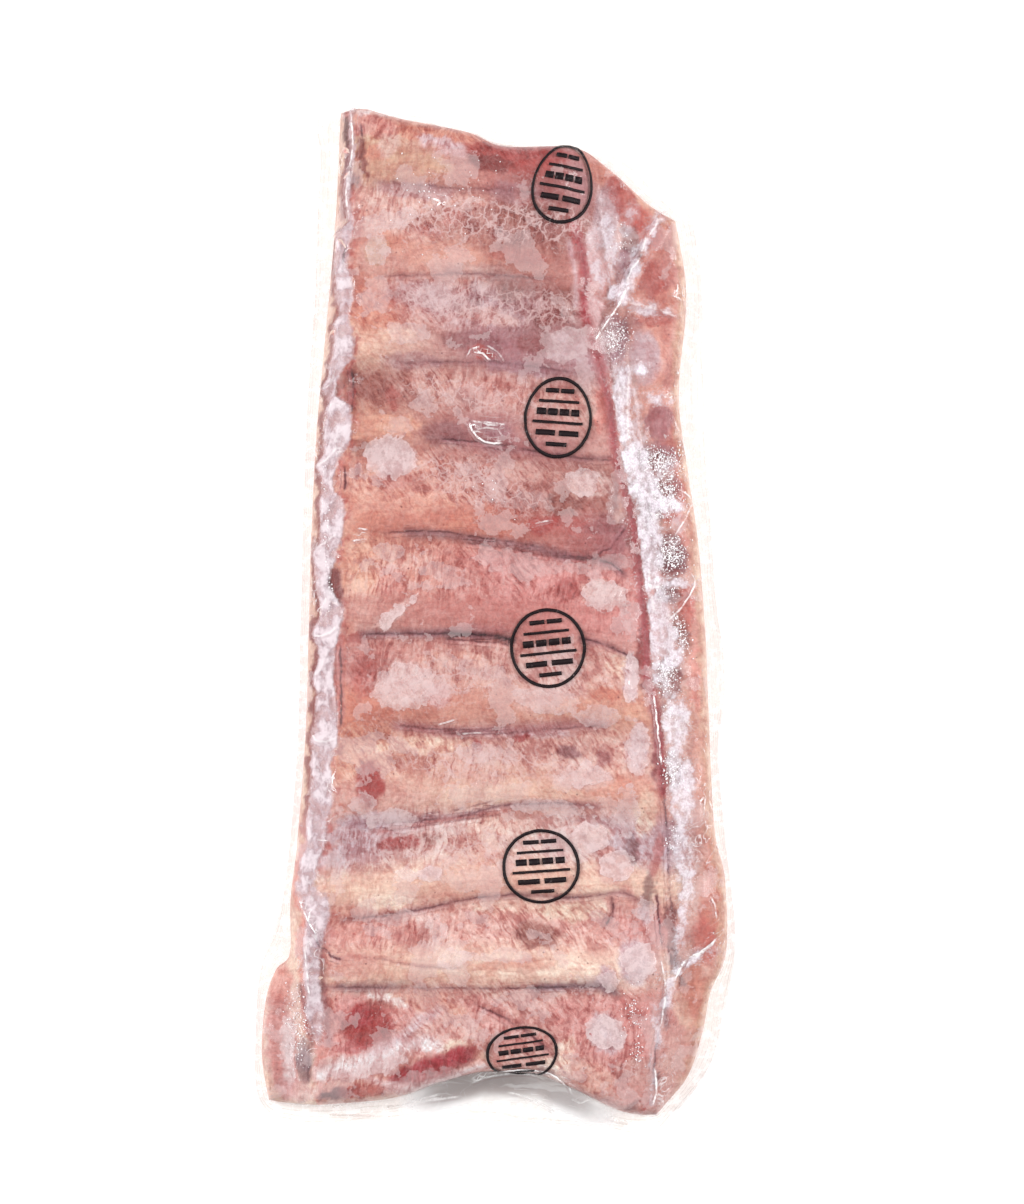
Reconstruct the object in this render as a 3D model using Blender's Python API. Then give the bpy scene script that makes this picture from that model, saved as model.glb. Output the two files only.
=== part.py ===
"""A rack of pork spareribs in a clear vacuum bag, lying bone side up.

The ribs run along X, from their sawn ends at -X to their cartilage at +X, and the rack's length runs along Y.
The bag's underside is at Z = 0, and the origin is in the middle of the whole pack's footprint.
Three kinds of piece: the slab of meat, the rib bones lying in their channels, and the bag, whose film is
skin-tight over the rack and is solid only where it lies under the slab and sticks out round it as a hem.
"""

import math

import bmesh
import bpy
from mathutils import Vector

MM = 0.001

# Slab
SLAB_TOP = 23.5 * MM        # height of the bone side above the table
EDGE_RISE = 1.8 * MM        # how much higher the long edges are than the hollow between them
RIB_VALLEY = 1.6 * MM       # depth of the meat between two ribs
FOOT = 4.0 * MM             # height at which the sides turn under
SIDE_ROUND = 7.0 * MM       # width of the rounding along the sides and ends
FILM = 0.6 * MM             # film with its folds, under the slab
GAP = 0.3 * MM              # clearance between pieces that touch
SLAB_BOTTOM = FILM + GAP

# Sawn side: a slanting face where the rib ends show
SAWN_DROP = 9.5 * MM
SAWN_RUN = 13.0 * MM
SHOULDER = 1.0 * MM         # how far in from the top of the sawn face a rib's height is taken
HALVINGS = 20

# Cartilage side: a seam, then a lower flap of meat
SEAM_DEPTH = 2.2 * MM
SEAM_WIDTH = 3.0 * MM
FLAP_TOP = 15.0 * MM
FLAP_SLOPE_WIDTH = 9.0 * MM
KNUCKLE_RISE = 2.2 * MM
FOLD_RISE = 3.0 * MM
FOLD_WIDTH = 3.2 * MM

# Loose pad of meat at the sawn side's bottom corner
PAD_DROP = 3.0 * MM
PAD_CREASE = 2.2 * MM
PAD_CREASE_WIDTH = 2.5 * MM
PAD_TOP = -113 * MM
PAD_SETBACK = 4.0 * MM      # how far in from the crease a rib stops that would run out over the pad

# Ribs
RIB_WIDTH = 13.0 * MM
RIB_THICKNESS = 8.4 * MM
RIB_PROUD = 1.1 * MM        # how far a rib's crown stands above the valleys' shoulders
RIB_STATION = -60 * MM      # the x at which the first y of each rib is given
RIB_SIDES = 12
RIB_STEPS = 9
RIB_WIDENS = 0.18           # share of its width that a rib gains from the sawn end to the cartilage
RIB_THINS = 0.2             # share of its thickness that it loses
RIB_BLUNT = 0.45            # size of the cartilage end's last ring
SAWN_PROUD = 0.4 * MM       # how much lower a sawn end is taken, so that the bone stands out of the sawn meat
CHANNEL_OVERRUN = 8.0 * MM

# Bag
HEM_WAVE = 1.6 * MM         # height of the hem's waves
HEM_WAVES = 31
HEM_INSET = 10.0 * MM       # how far in from its edge the hem starts to lift
LOOP_POINTS = 120           # points round the bag's hem

SLAB_COLUMNS = 24
SLAB_ROWS = 58

# Outlines in millimetres from the origin, as (x, y). Each side is a smooth curve through its points.
LEFT_SIDE = [(-80.5, -170.5), (-83, -154), (-81.5, -135), (-78, -124.5), (-73, -118.5), (-72.8, -100),
             (-70.5, -80), (-67.5, -42), (-66.4, -8), (-65.6, 24), (-63.6, 65), (-60.2, 102), (-56.8, 140),
             (-54.9, 179)]
RIGHT_SIDE = [(57, -175), (68, -162.5), (73.5, -147), (76.5, -132), (82, -118), (81.6, -92), (77.8, -73),
              (75.8, -32), (74.6, -4), (72, 28), (68.2, 54), (65.2, 80), (67.9, 115), (64, 141)]
TOP_END = [(-54.9, 179), (-46, 180.5), (-34, 177.4), (-10, 172.6), (3, 167.6), (28, 167), (40, 160),
           (54, 147.5), (64, 141)]
BOTTOM_END = [(-80.5, -170.5), (-70, -171.6), (-38, -169.4), (-20, -163.6), (-4, -159.8), (14, -160.4),
              (28, -166), (44, -173.5), (57, -175)]

# The hem of the bag, all the way round, and the line where the sawn face starts
HEM = [(-60, 182.6), (-16, 181.8), (18, 176.6), (46, 170), (66, 152), (73, 128), (74.6, 88), (76.2, 54),
       (78.6, 10), (82.6, -22), (79.6, -46), (82.4, -80), (85.7, -112), (83.4, -132), (77, -158), (64, -176),
       (52, -184.2), (24, -180), (-30, -178.4), (-70, -179.6), (-84, -172), (-85.7, -150), (-83.6, -122),
       (-76, -100), (-71, -50), (-69.6, 0), (-68, 60), (-65.2, 110), (-63, 160)]
SAWN_LINE = [(-62, -172), (-63.5, -150), (-64.5, -128), (-61, -110), (-57, -80), (-53, -40), (-51.8, 0),
             (-51.6, 120), (-48.5, 180)]
SEAM_LINE = [(53, -178), (56, -154), (59, -125), (61.8, -88), (58.8, -49), (54.2, -10), (50.4, 25),
             (44, 62), (36.5, 100), (29, 140), (26, 180)]

# Each rib: y at the sawn side, in the middle and at the cartilage end, and the x where it ends
RIBS = [(160, 158, 152, 20), (128, 126, 122, 26), (96, 95, 90, 32), (67, 66, 60, 37), (36, 34, 27, 44),
        (1, 1, -4, 48), (-32, -30, -32, 51), (-64, -59, -61, 53), (-96, -91, -94, 52),
        (-121.5, -121, -121.5, 38)]

# Cartilage ends that lift the flap, as x, y, half width and half length, the two ends of the fold across it,
# and the line of the crease beside the pad
KNUCKLES = [(55, 89, 8, 12), (57.5, 66, 8, 11), (62, 20, 8, 16), (66, -25, 8, 17), (70, -66, 8, 15),
            (72, -104, 8, 16)]
FOLD_LINE = [(37, 101), (63, 141)]
PAD_LINE = [(-66.6, -170), (-59.8, -113)]

# Linear colours
COLOURS = {"meat": (0.55, 0.20, 0.17), "bone": (0.80, 0.52, 0.42), "film": (0.80, 0.82, 0.84)}


def clear_scene():
    for item in list(bpy.data.objects):
        bpy.data.objects.remove(item, do_unlink=True)


def smooth(low, high, value):
    """0 below low, 1 above high, and an S between them."""
    share = min(max((value - low) / (high - low), 0), 1)
    return share * share * (3 - 2 * share)


def catmull(before, start, end, after, share):
    """A point between start and end on the smooth curve through all four."""
    found = []
    for a, b, c, d in zip(before, start, end, after):
        bend = (2 * a - 5 * b + 4 * c - d) * share**2 + (3 * b - a - 3 * c + d) * share**3
        found.append(0.5 * (2 * b + (c - a) * share + bend))
    return found


def along(points, share, closed=False):
    """The point at this share of a curve's length, in metres. The points are in millimetres."""
    spans = list(zip(points, points[1:] + points[:1])) if closed else list(zip(points, points[1:]))
    lengths = [math.dist(a, b) for a, b in spans]
    left = min(max(share, 0), 1) * sum(lengths)
    index = 0
    while index < len(spans) - 1 and left > lengths[index]:
        left -= lengths[index]
        index += 1
    count = len(points)
    if closed:
        near = [points[(index + step) % count] for step in (-1, 0, 1, 2)]
    else:
        near = [points[min(max(index + step, 0), count - 1)] for step in (-1, 0, 1, 2)]
    x, y = catmull(*near, min(left / lengths[index], 1))
    return Vector((x * MM, y * MM))


def x_at(line, y):
    """The x of a line that runs along Y, at this y, in metres."""
    for (x0, y0), (x1, y1) in zip(line, line[1:]):
        if y * 1000 <= y1:
            break
    share = min(max((y * 1000 - y0) / (y1 - y0), 0), 1)
    return (x0 + (x1 - x0) * share) * MM


def in_plan(across, length):
    """The slab's plan at shares of its width and length: its four sides, blended over the middle."""
    left, right = along(LEFT_SIDE, length), along(RIGHT_SIDE, length)
    bottom, top = along(BOTTOM_END, across), along(TOP_END, across)
    corners = ((1 - length) * ((1 - across) * along(LEFT_SIDE, 0) + across * along(RIGHT_SIDE, 0))
               + length * ((1 - across) * along(LEFT_SIDE, 1) + across * along(RIGHT_SIDE, 1)))
    return (1 - across) * left + across * right + (1 - length) * bottom + length * top - corners


def rib_y(rib, x):
    """The y of a rib's middle line at this x, in metres: a parabola through its three places."""
    start, middle, end, x_end = [value * MM for value in rib]
    share = (x - RIB_STATION) / (x_end - RIB_STATION)
    rest = 1 - share
    return start * rest * (rest - share) + middle * 4 * share * rest + end * share * (share - rest)


def crown(x, y):
    """Height of the bone side with no valleys: a shallow trough, the sawn face and the lower flap."""
    sawn, seam = x_at(SAWN_LINE, y), x_at(SEAM_LINE, y)
    across = (x - (sawn + seam) / 2) / ((seam - sawn) / 2)
    height = SLAB_TOP - EDGE_RISE * (1 - min(abs(across), 1) ** 2)
    height -= SAWN_DROP * smooth(0, SAWN_RUN, sawn - x)
    height -= (SLAB_TOP - FLAP_TOP) * smooth(0, FLAP_SLOPE_WIDTH, x - seam)
    height -= SEAM_DEPTH * math.exp(-(((x - seam - 1 * MM) / SEAM_WIDTH) ** 2))
    return height


def bump(x, y, lump):
    """1 in the middle of an oval lump, 0 outside it."""
    x0, y0, half_x, half_y = [value * MM for value in lump]
    far = math.hypot((x - x0) / half_x, (y - y0) / half_y)
    return 1 - smooth(0.35, 1.0, far)


def fold(x, y):
    """1 on the crest of the fold that crosses the flap at the top, 0 away from it."""
    (x0, y0), (x1, y1) = FOLD_LINE
    run_x, run_y = (x1 - x0) * MM, (y1 - y0) * MM
    length = math.hypot(run_x, run_y)
    share = ((x - x0 * MM) * run_x + (y - y0 * MM) * run_y) / length**2
    aside = ((x - x0 * MM) * run_y - (y - y0 * MM) * run_x) / length
    return math.exp(-((aside / FOLD_WIDTH) ** 2)) * smooth(-0.1, 0.15, share) * smooth(1.1, 0.9, share)


def flap(x, y):
    """What the cartilage ends under the flap, and its fold, add to its height."""
    beyond = smooth(2 * MM, 6 * MM, x - x_at(SEAM_LINE, y))
    return beyond * (KNUCKLE_RISE * max(bump(x, y, lump) for lump in KNUCKLES) + FOLD_RISE * fold(x, y))


def pad(x, y):
    """How much lower the loose pad at the sawn side's bottom corner lies, and the crease beside it."""
    edge = x_at(PAD_LINE, y)
    below = smooth(PAD_TOP, PAD_TOP - 10 * MM, y)
    inside = smooth(0, 7 * MM, edge - x)
    crease = math.exp(-(((x - edge) / PAD_CREASE_WIDTH) ** 2))
    return below * (PAD_DROP * inside + PAD_CREASE * crease)


def valley(x, y):
    """0 on a rib's crown, 1 half way between two ribs."""
    sawn, seam = x_at(SAWN_LINE, y), x_at(SEAM_LINE, y)
    nearest = min(abs(y - rib_y(rib, x)) for rib in RIBS)
    over_ribs = smooth(-4 * MM, 6 * MM, x - sawn) * smooth(-2 * MM, 12 * MM, seam - x)
    return over_ribs * smooth(RIB_WIDTH * 0.25, RIB_WIDTH * 0.95, nearest)


def slab_height(x, y, to_side):
    """Height of the slab's top, to_side metres in from its nearest side."""
    height = crown(x, y) - RIB_VALLEY * valley(x, y) - pad(x, y) + flap(x, y)
    if to_side >= SIDE_ROUND:
        return height
    inward = max(to_side, 0) / SIDE_ROUND
    return FOOT + (height - FOOT) * math.sqrt(1 - (1 - inward) ** 2)


def spaced(share):
    """Shares of a side with the stations closer together at both ends."""
    return 0.62 * share + 0.38 * (0.5 - 0.5 * math.cos(math.pi * share))


def material(name, roughness, alpha=1.0):
    made = bpy.data.materials.new(name)
    made.use_nodes = True
    shader = made.node_tree.nodes["Principled BSDF"]
    shader.inputs["Base Color"].default_value = (*COLOURS[name], 1)
    shader.inputs["Roughness"].default_value = roughness
    shader.inputs["Metallic"].default_value = 0
    shader.inputs["Alpha"].default_value = alpha
    return made


def add_object(name, mesh_in_work, finish):
    """Turns a bmesh into a named, smooth-shaded object."""
    bmesh.ops.recalc_face_normals(mesh_in_work, faces=mesh_in_work.faces)
    mesh = bpy.data.meshes.new(name)
    mesh_in_work.to_mesh(mesh)
    mesh_in_work.free()
    mesh.shade_smooth()
    mesh.set_sharp_from_angle(angle=math.radians(50))
    made = bpy.data.objects.new(name, mesh)
    if finish:
        mesh.materials.append(finish)
    bpy.context.scene.collection.objects.link(made)
    return made


def make_slab(finish):
    """The meat: a grid shaped to the rack's plan and heights, drawn down to a flat underside."""
    work = bmesh.new()
    bmesh.ops.create_grid(work, x_segments=SLAB_COLUMNS, y_segments=SLAB_ROWS, size=0.5)
    for vert in work.verts:
        across, length = spaced(vert.co.x + 0.5), spaced(vert.co.y + 0.5)
        place = in_plan(across, length)
        width = (along(RIGHT_SIDE, length) - along(LEFT_SIDE, length)).length
        height = (along(TOP_END, across) - along(BOTTOM_END, across)).length
        to_side = min(across * width, (1 - across) * width, length * height, (1 - length) * height)
        vert.co = (place.x, place.y, slab_height(place.x, place.y, to_side))
    rim = [edge for edge in work.edges if edge.is_boundary]
    drawn = bmesh.ops.extrude_edge_only(work, edges=rim)["geom"]
    for vert in (item for item in drawn if isinstance(item, bmesh.types.BMVert)):
        vert.co.z = SLAB_BOTTOM
    bmesh.ops.holes_fill(work, edges=[edge for edge in work.edges if edge.is_boundary], sides=0)
    return add_object("meat_slab", work, finish)


def sawn_x(height, y):
    """The x where the slab's sawn face, with its rounded side and loose pad, passes this height, by halving."""
    side = x_at(LEFT_SIDE, y)
    outer, inner = side, x_at(SAWN_LINE, y)
    if y < PAD_TOP:
        inner = max(inner, x_at(PAD_LINE, y) + PAD_SETBACK)
    for _ in range(HALVINGS):
        between = (outer + inner) / 2
        if slab_height(between, y, between - side) < height:
            outer = between
        else:
            inner = between
    return between


def rib_level(x, y):
    """Height of a rib's middle line, which keeps level past the top of the sawn face."""
    return crown(max(x, x_at(SAWN_LINE, y) + SHOULDER), y) + RIB_PROUD - RIB_THICKNESS / 2


def make_rib(name, rib, finish, grow=0.0):
    """A rib: an oval bar along its curve, sawn off flush with the slanting face at -X and blunt at +X.
    grow makes the channel that it lies in, which runs out through the sawn face."""
    x_end = rib[3] * MM + grow
    overrun = CHANNEL_OVERRUN if grow else 0
    sawn_y = rib_y(rib, RIB_STATION)
    sawn_level = rib_level(RIB_STATION, sawn_y) - SAWN_PROUD
    work = bmesh.new()
    rings = []
    for step in range(RIB_STEPS + 1):
        share = step / RIB_STEPS
        blunt = RIB_BLUNT if step == RIB_STEPS else 1
        half_width = blunt * (RIB_WIDTH / 2 * (1 + RIB_WIDENS * (share - 0.5)) + grow)
        half_thickness = blunt * (RIB_THICKNESS / 2 * (1 - RIB_THINS * (share - 0.5)) + grow)
        turn = bmesh.ops.create_circle(work, segments=RIB_SIDES, radius=1)["verts"]
        for vert in turn:
            aside, up = vert.co.x * half_width, vert.co.y * half_thickness
            x_start = sawn_x(sawn_level + up, sawn_y) - overrun
            x = x_start + (x_end - x_start) * share
            y = rib_y(rib, x)
            vert.co = (x, y + aside, rib_level(x, y) + up)
        rings.append([edge for edge in work.edges if edge.verts[0] in turn and edge.verts[1] in turn])
    for first, second in zip(rings, rings[1:]):
        bmesh.ops.bridge_loops(work, edges=first + second)
    bmesh.ops.holes_fill(work, edges=rings[0] + rings[-1], sides=0)
    return add_object(name, work, finish)


def cut_channel(slab, rib, number):
    channel = make_rib(f"channel_{number:02d}", rib, None, grow=GAP)
    channel.hide_render = True
    channel.display_type = "WIRE"
    cut = slab.modifiers.new(f"channel_{number:02d}", "BOOLEAN")
    cut.operation = "DIFFERENCE"
    cut.solver = "EXACT"
    cut.object = channel


def hem_height(share, outward):
    """Height of the bag's hem: flat under the slab, in uneven waves at its edge."""
    turns = 2 * math.pi * share
    wave = (0.5 + 0.5 * math.sin(HEM_WAVES * turns)) * (0.65 + 0.35 * math.sin(7 * turns + 1))
    return HEM_WAVE * wave * smooth(0.8, 1.0, outward)


def make_bag(finish):
    """The film under the slab, with its hem: a flat middle, then rings out to the uneven edge."""
    work = bmesh.new()
    rim = [along(HEM, step / LOOP_POINTS, closed=True) for step in range(LOOP_POINTS)]
    middle = sum(rim, Vector((0, 0))) / LOOP_POINTS
    rings = []
    for outward in (0.0, 0.8, 1.0):
        verts = []
        for step, edge in enumerate(rim):
            inward = (middle - edge).normalized() * HEM_INSET * (1 - outward)
            verts.append(work.verts.new((*(edge + inward), FILM + hem_height(step / LOOP_POINTS, outward))))
        rings.append([work.edges.new((verts[step - 1], verts[step])) for step in range(LOOP_POINTS)])
    for first, second in zip(rings, rings[1:]):
        bmesh.ops.bridge_loops(work, edges=first + second)
    bmesh.ops.holes_fill(work, edges=rings[0], sides=0)
    top = list(work.faces)
    lower = bmesh.ops.extrude_face_region(work, geom=top, use_keep_orig=True)["geom"]
    for vert in (item for item in lower if isinstance(item, bmesh.types.BMVert)):
        vert.co.z -= FILM
    return add_object("film_bag", work, finish)


def main():
    clear_scene()
    meat = material("meat", 0.45)
    bone = material("bone", 0.5)
    film = material("film", 0.12, alpha=0.35)
    make_bag(film)
    slab = make_slab(meat)
    for number, rib in enumerate(RIBS, 1):
        make_rib(f"rib_{number:02d}", rib, bone)
        cut_channel(slab, rib, number)


main()
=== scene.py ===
import math

import bmesh
import bpy
import numpy as np
from mathutils import Euler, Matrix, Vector, noise
from mathutils.bvhtree import BVHTree


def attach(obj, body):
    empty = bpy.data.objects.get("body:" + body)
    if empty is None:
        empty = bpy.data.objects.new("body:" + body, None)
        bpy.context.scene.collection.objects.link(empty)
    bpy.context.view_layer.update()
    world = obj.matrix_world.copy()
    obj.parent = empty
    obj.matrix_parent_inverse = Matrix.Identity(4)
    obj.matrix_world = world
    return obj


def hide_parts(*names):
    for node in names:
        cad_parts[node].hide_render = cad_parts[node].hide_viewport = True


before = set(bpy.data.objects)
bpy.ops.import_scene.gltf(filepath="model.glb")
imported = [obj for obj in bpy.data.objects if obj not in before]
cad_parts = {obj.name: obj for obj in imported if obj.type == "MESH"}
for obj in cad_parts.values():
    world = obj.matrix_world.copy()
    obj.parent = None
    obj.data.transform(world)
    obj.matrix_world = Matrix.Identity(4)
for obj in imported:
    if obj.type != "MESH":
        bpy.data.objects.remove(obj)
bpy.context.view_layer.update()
mm = 0.001  # every size below is in millimetres, and every angle in degrees
print("frame loaded")

# ---- the rack's form, from the same sizes as its solids

rack = {
    "width": 140.0,
    "length": 340.0,
    "top": 23.5,
    "edgeRise": 1.8,
    "ribValley": 1.5,
    "ribProud": 1.0,
    "ribWidth": 13.0,
    "ribThickness": 8.4,
    "foot": 4.0,
    "sideRound": 7.0,
    "wallShare": 0.05,  # of the grid's columns, on the rounded side
    "sawnDrop": 9.5,
    "sawnRun": 13.0,
    "seamDepth": 2.2,
    "seamWidth": 3.0,
    "flapTop": 15.0,
    "flapSlope": 9.0,
    "knuckleRise": 2.2,
    "foldRise": 3.0,
    "foldWidth": 3.2,
    "padDrop": 3.0,
    "padCrease": 2.2,
    "padCreaseWidth": 2.5,
    "padTop": -113.0,
    "ribStation": -60.0,
}
leftSide = [(-80.5, -170.5), (-83, -154), (-81.5, -135), (-78, -124.5), (-73, -118.5), (-72.8, -100),
            (-70.5, -80), (-67.5, -42), (-66.4, -8), (-65.6, 24), (-63.6, 65), (-60.2, 102), (-56.8, 140),
            (-54.9, 179)]
rightSide = [(57, -175), (68, -162.5), (73.5, -147), (76.5, -132), (82, -118), (81.6, -92), (77.8, -73),
             (75.8, -32), (74.6, -4), (72, 28), (68.2, 54), (65.2, 80), (67.9, 115), (64, 141)]
topEnd = [(-54.9, 179), (-46, 180.5), (-34, 177.4), (-10, 172.6), (3, 167.6), (28, 167), (40, 160),
          (54, 147.5), (64, 141)]
bottomEnd = [(-80.5, -170.5), (-70, -171.6), (-38, -169.4), (-20, -163.6), (-4, -159.8), (14, -160.4),
             (28, -166), (44, -173.5), (57, -175)]
hemEdge = [(-60, 182.6), (-16, 181.8), (18, 176.6), (46, 170), (66, 152), (73, 128), (74.6, 88), (76.2, 54),
           (78.6, 10), (82.6, -22), (79.6, -46), (82.4, -80), (85.7, -112), (83.4, -132), (77, -158), (64, -176),
           (52, -184.2), (24, -180), (-30, -178.4), (-70, -179.6), (-84, -172), (-85.7, -150), (-83.6, -122),
           (-76, -100), (-71, -50), (-69.6, 0), (-68, 60), (-65.2, 110), (-63, 160)]
sawnLine = [(-62, -172), (-63.5, -150), (-64.5, -128), (-61, -110), (-57, -80), (-53, -40), (-51.8, 0),
            (-51.6, 120), (-48.5, 180)]
seamLine = [(53, -178), (56, -154), (59, -125), (61.8, -88), (58.8, -49), (54.2, -10), (50.4, 25),
            (44, 62), (36.5, 100), (29, 140), (26, 180)]
padLine = [(-66.6, -170), (-59.8, -113)]
foldLine = [(37, 101), (63, 141)]
ribs = [(160, 158, 152, 20), (128, 126, 122, 26), (96, 95, 90, 32), (67, 66, 60, 37), (36, 34, 27, 44),
        (1, 1, -4, 48), (-32, -30, -32, 51), (-64, -59, -61, 53), (-96, -91, -94, 52),
        (-121.5, -121, -121.5, 38)]  # y at the sawn side, the middle and the far end, and the x where it ends
knuckles = [(55, 89, 8, 12), (57.5, 66, 8, 11), (62, 20, 8, 16), (66, -25, 8, 17), (70, -66, 8, 15),
            (72, -104, 8, 16)]


def ease(low, high, value):
    share = np.clip((value - low) / (high - low), 0, 1)
    return share * share * (3 - 2 * share)


def along(points, shares, closed=False):  # points on the smooth curve through the given ones
    stops = np.array(points, float)
    ends = np.roll(stops, -1, 0) if closed else stops[1:]
    starts = stops if closed else stops[:-1]
    lengths = np.linalg.norm(ends - starts, axis=1)
    travelled = np.concatenate([[0], np.cumsum(lengths)])
    at = np.clip(shares, 0, 1) * travelled[-1]
    index = np.clip(np.searchsorted(travelled, at, side="right") - 1, 0, len(lengths) - 1)
    t = ((at - travelled[index]) / lengths[index])[:, None]
    if closed:
        a, b, c, d = [stops[(index + step) % len(stops)] for step in (-1, 0, 1, 2)]
    else:
        a, b, c, d = [stops[np.clip(index + step, 0, len(stops) - 1)] for step in (-1, 0, 1, 2)]
    return 0.5 * (2 * b + (c - a) * t + (2 * a - 5 * b + 4 * c - d) * t**2 + (3 * b - a - 3 * c + d) * t**3)


def xAt(line, y):
    xs, ys = np.array(line, float).T
    return np.interp(y, ys, xs)


def inPlan(across, length):  # the rack's plan: its four sides, blended over the middle
    left, right = along(leftSide, length), along(rightSide, length)
    bottom, top = along(bottomEnd, across), along(topEnd, across)
    u, v = across[:, None], length[:, None]
    corners = ((1 - v) * ((1 - u) * np.array(leftSide[0]) + u * np.array(rightSide[0]))
               + v * ((1 - u) * np.array(leftSide[-1]) + u * np.array(rightSide[-1])))
    return (1 - u) * left + u * right + (1 - v) * bottom + v * top - corners


def insetPlan(across, length, inward):  # the same plan drawn in by about this much all round
    return inPlan(0.5 + (across - 0.5) * (1 - 2 * inward / rack["width"]),
                  0.5 + (length - 0.5) * (1 - 2 * inward / rack["length"]))


def ribY(rib, x):
    start, middle, end, xEnd = rib
    share = (x - rack["ribStation"]) / (xEnd - rack["ribStation"])
    rest = 1 - share
    return start * rest * (rest - share) + middle * 4 * share * rest + end * share * (share - rest)


def toNearestRib(x, y):
    return np.min([np.abs(y - ribY(rib, x)) for rib in ribs], axis=0)


def lump(x, y, place, inner=0.35):  # 1 in the middle of an oval, 0 outside it
    far = np.hypot((x - place[0]) / place[2], (y - place[1]) / place[3])
    return 1 - ease(inner, 1, far)


def toSegment(x, y, start, end):  # distance from a straight piece, and the share along it
    runX, runY = end[0] - start[0], end[1] - start[1]
    share = np.clip(((x - start[0]) * runX + (y - start[1]) * runY) / (runX**2 + runY**2), 0, 1)
    return np.hypot(x - start[0] - share * runX, y - start[1] - share * runY), share


def toLine(x, y, points):  # distance from a bent line
    return np.min([toSegment(x, y, a, b)[0] for a, b in zip(points, points[1:])], axis=0)


def nearestLine(x, y, lines, reach):  # signed distance from the nearest line, and how much of it shows
    at, nearest, shown = np.full(len(x), float(reach)), np.full(len(x), float(reach)), np.zeros(len(x))
    for strength, points in lines:
        length = sum(math.dist(a, b) for a, b in zip(points, points[1:]))
        steps = max(2, int(length / 3))
        path = along(points, np.linspace(0, 1, steps + 1))
        for index, (start, end) in enumerate(zip(path, path[1:])):
            low, high = np.minimum(start, end) - reach, np.maximum(start, end) + reach
            near = np.flatnonzero((x > low[0]) & (x < high[0]) & (y > low[1]) & (y < high[1]))
            runX, runY = end - start
            far, share = toSegment(x[near], y[near], start, end)
            side = np.sign((x[near] - start[0]) * runY - (y[near] - start[1]) * runX)
            travelled = (index + share) / steps
            closer = far < nearest[near]
            near, far, side, travelled = near[closer], far[closer], side[closer], travelled[closer]
            nearest[near], at[near] = far, far * side
            shown[near] = strength * ease(0, 0.12, travelled) * ease(1, 0.88, travelled) * ease(reach, 0.6 * reach, far)
    return at, shown


def wander(x, y, size, seed, octaves=3):  # smooth noise from about -1 to 1
    found = np.empty(len(x))
    for index, (px, py) in enumerate(zip(x / size, y / size)):
        found[index] = noise.fractal((px, py, seed), 0.8, 2.0, octaves)
    return found


def crown(x, y):
    sawn, seam = xAt(sawnLine, y), xAt(seamLine, y)
    across = (x - (sawn + seam) / 2) / ((seam - sawn) / 2)
    height = rack["top"] - rack["edgeRise"] * (1 - np.minimum(np.abs(across), 1) ** 2)
    height = height - rack["sawnDrop"] * ease(0, rack["sawnRun"], sawn - x)
    height = height - (rack["top"] - rack["flapTop"]) * ease(0, rack["flapSlope"], x - seam)
    return height - rack["seamDepth"] * np.exp(-(((x - seam - 1) / rack["seamWidth"]) ** 2))


def flapRise(x, y):
    beyond = ease(2, 6, x - xAt(seamLine, y))
    bumps = np.max([lump(x, y, place) for place in knuckles], axis=0)
    far, share = toSegment(x, y, foldLine[0], foldLine[1])
    crest = np.exp(-((far / rack["foldWidth"]) ** 2))
    return beyond * (rack["knuckleRise"] * bumps + rack["foldRise"] * crest)


def padDrop(x, y):
    edge = xAt(padLine, y)
    below = ease(rack["padTop"], rack["padTop"] - 10, y)
    creaseHighlightAndShadow = np.exp(-(((x - edge) / rack["padCreaseWidth"]) ** 2))
    return below * (rack["padDrop"] * ease(0, 7, edge - x) + rack["padCrease"] * creaseHighlightAndShadow)


def overRibs(x, y):
    return ease(-4, 6, x - xAt(sawnLine, y)) * ease(-2, 12, xAt(seamLine, y) - x)


def rackHeight(x, y):  # the bone side, before its edges turn down
    near = toNearestRib(x, y)
    valley = ease(rack["ribWidth"] * 0.25, rack["ribWidth"] * 0.95, near)
    ridge = 1 - ease(0, rack["ribWidth"] * 0.55, near)
    relief = rack["ribProud"] * ridge - rack["ribValley"] * valley
    return crown(x, y) + relief * overRibs(x, y) - padDrop(x, y) + flapRise(x, y)


def edgeDistance(share, length, wall):  # stations that follow the rounded side, then run evenly
    side = rack["sideRound"] * (1 - np.cos(np.minimum(share / wall, 1) * math.pi / 2))
    inner = np.maximum(share - wall, 0) / (0.5 - wall) * (length / 2 - rack["sideRound"])
    return side + inner


def stations(u, v):  # plan position and distance from the nearest side, for shares of a grid
    wall = rack["wallShare"]
    width = np.linalg.norm(along(rightSide, v) - along(leftSide, v), axis=1)
    length = np.linalg.norm(along(topEnd, u) - along(bottomEnd, u), axis=1)
    fromX = edgeDistance(np.minimum(u, 1 - u), width, wall)
    fromY = edgeDistance(np.minimum(v, 1 - v), length, wall * 0.5)
    across = np.where(u < 0.5, fromX / width, 1 - fromX / width)
    up = np.where(v < 0.5, fromY / length, 1 - fromY / length)
    return across, up, np.minimum(fromX, fromY)


def rounded(height, toSide, foot):  # turns the top down into the sides
    inward = np.clip(toSide / rack["sideRound"], 0, 1)
    return foot + (height - foot) * np.sqrt(1 - (1 - inward) ** 2)


# ---- small helpers for meshes and materials


def linear(colour):  # from 0 to 255 as seen on a screen, to linear
    return [((value / 255 + 0.055) / 1.055) ** 2.4 if value > 10 else value / 255 / 12.92 for value in colour]


def verticesOf(mesh):
    found = np.empty(len(mesh.vertices) * 3, np.float32)
    mesh.vertices.foreach_get("co", found)
    return found.reshape(-1, 3).astype(float)


def addField(mesh, name, values):
    field = mesh.attributes.new(name, "FLOAT", "POINT")
    field.data.foreach_set("value", values.astype(np.float32))


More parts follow.
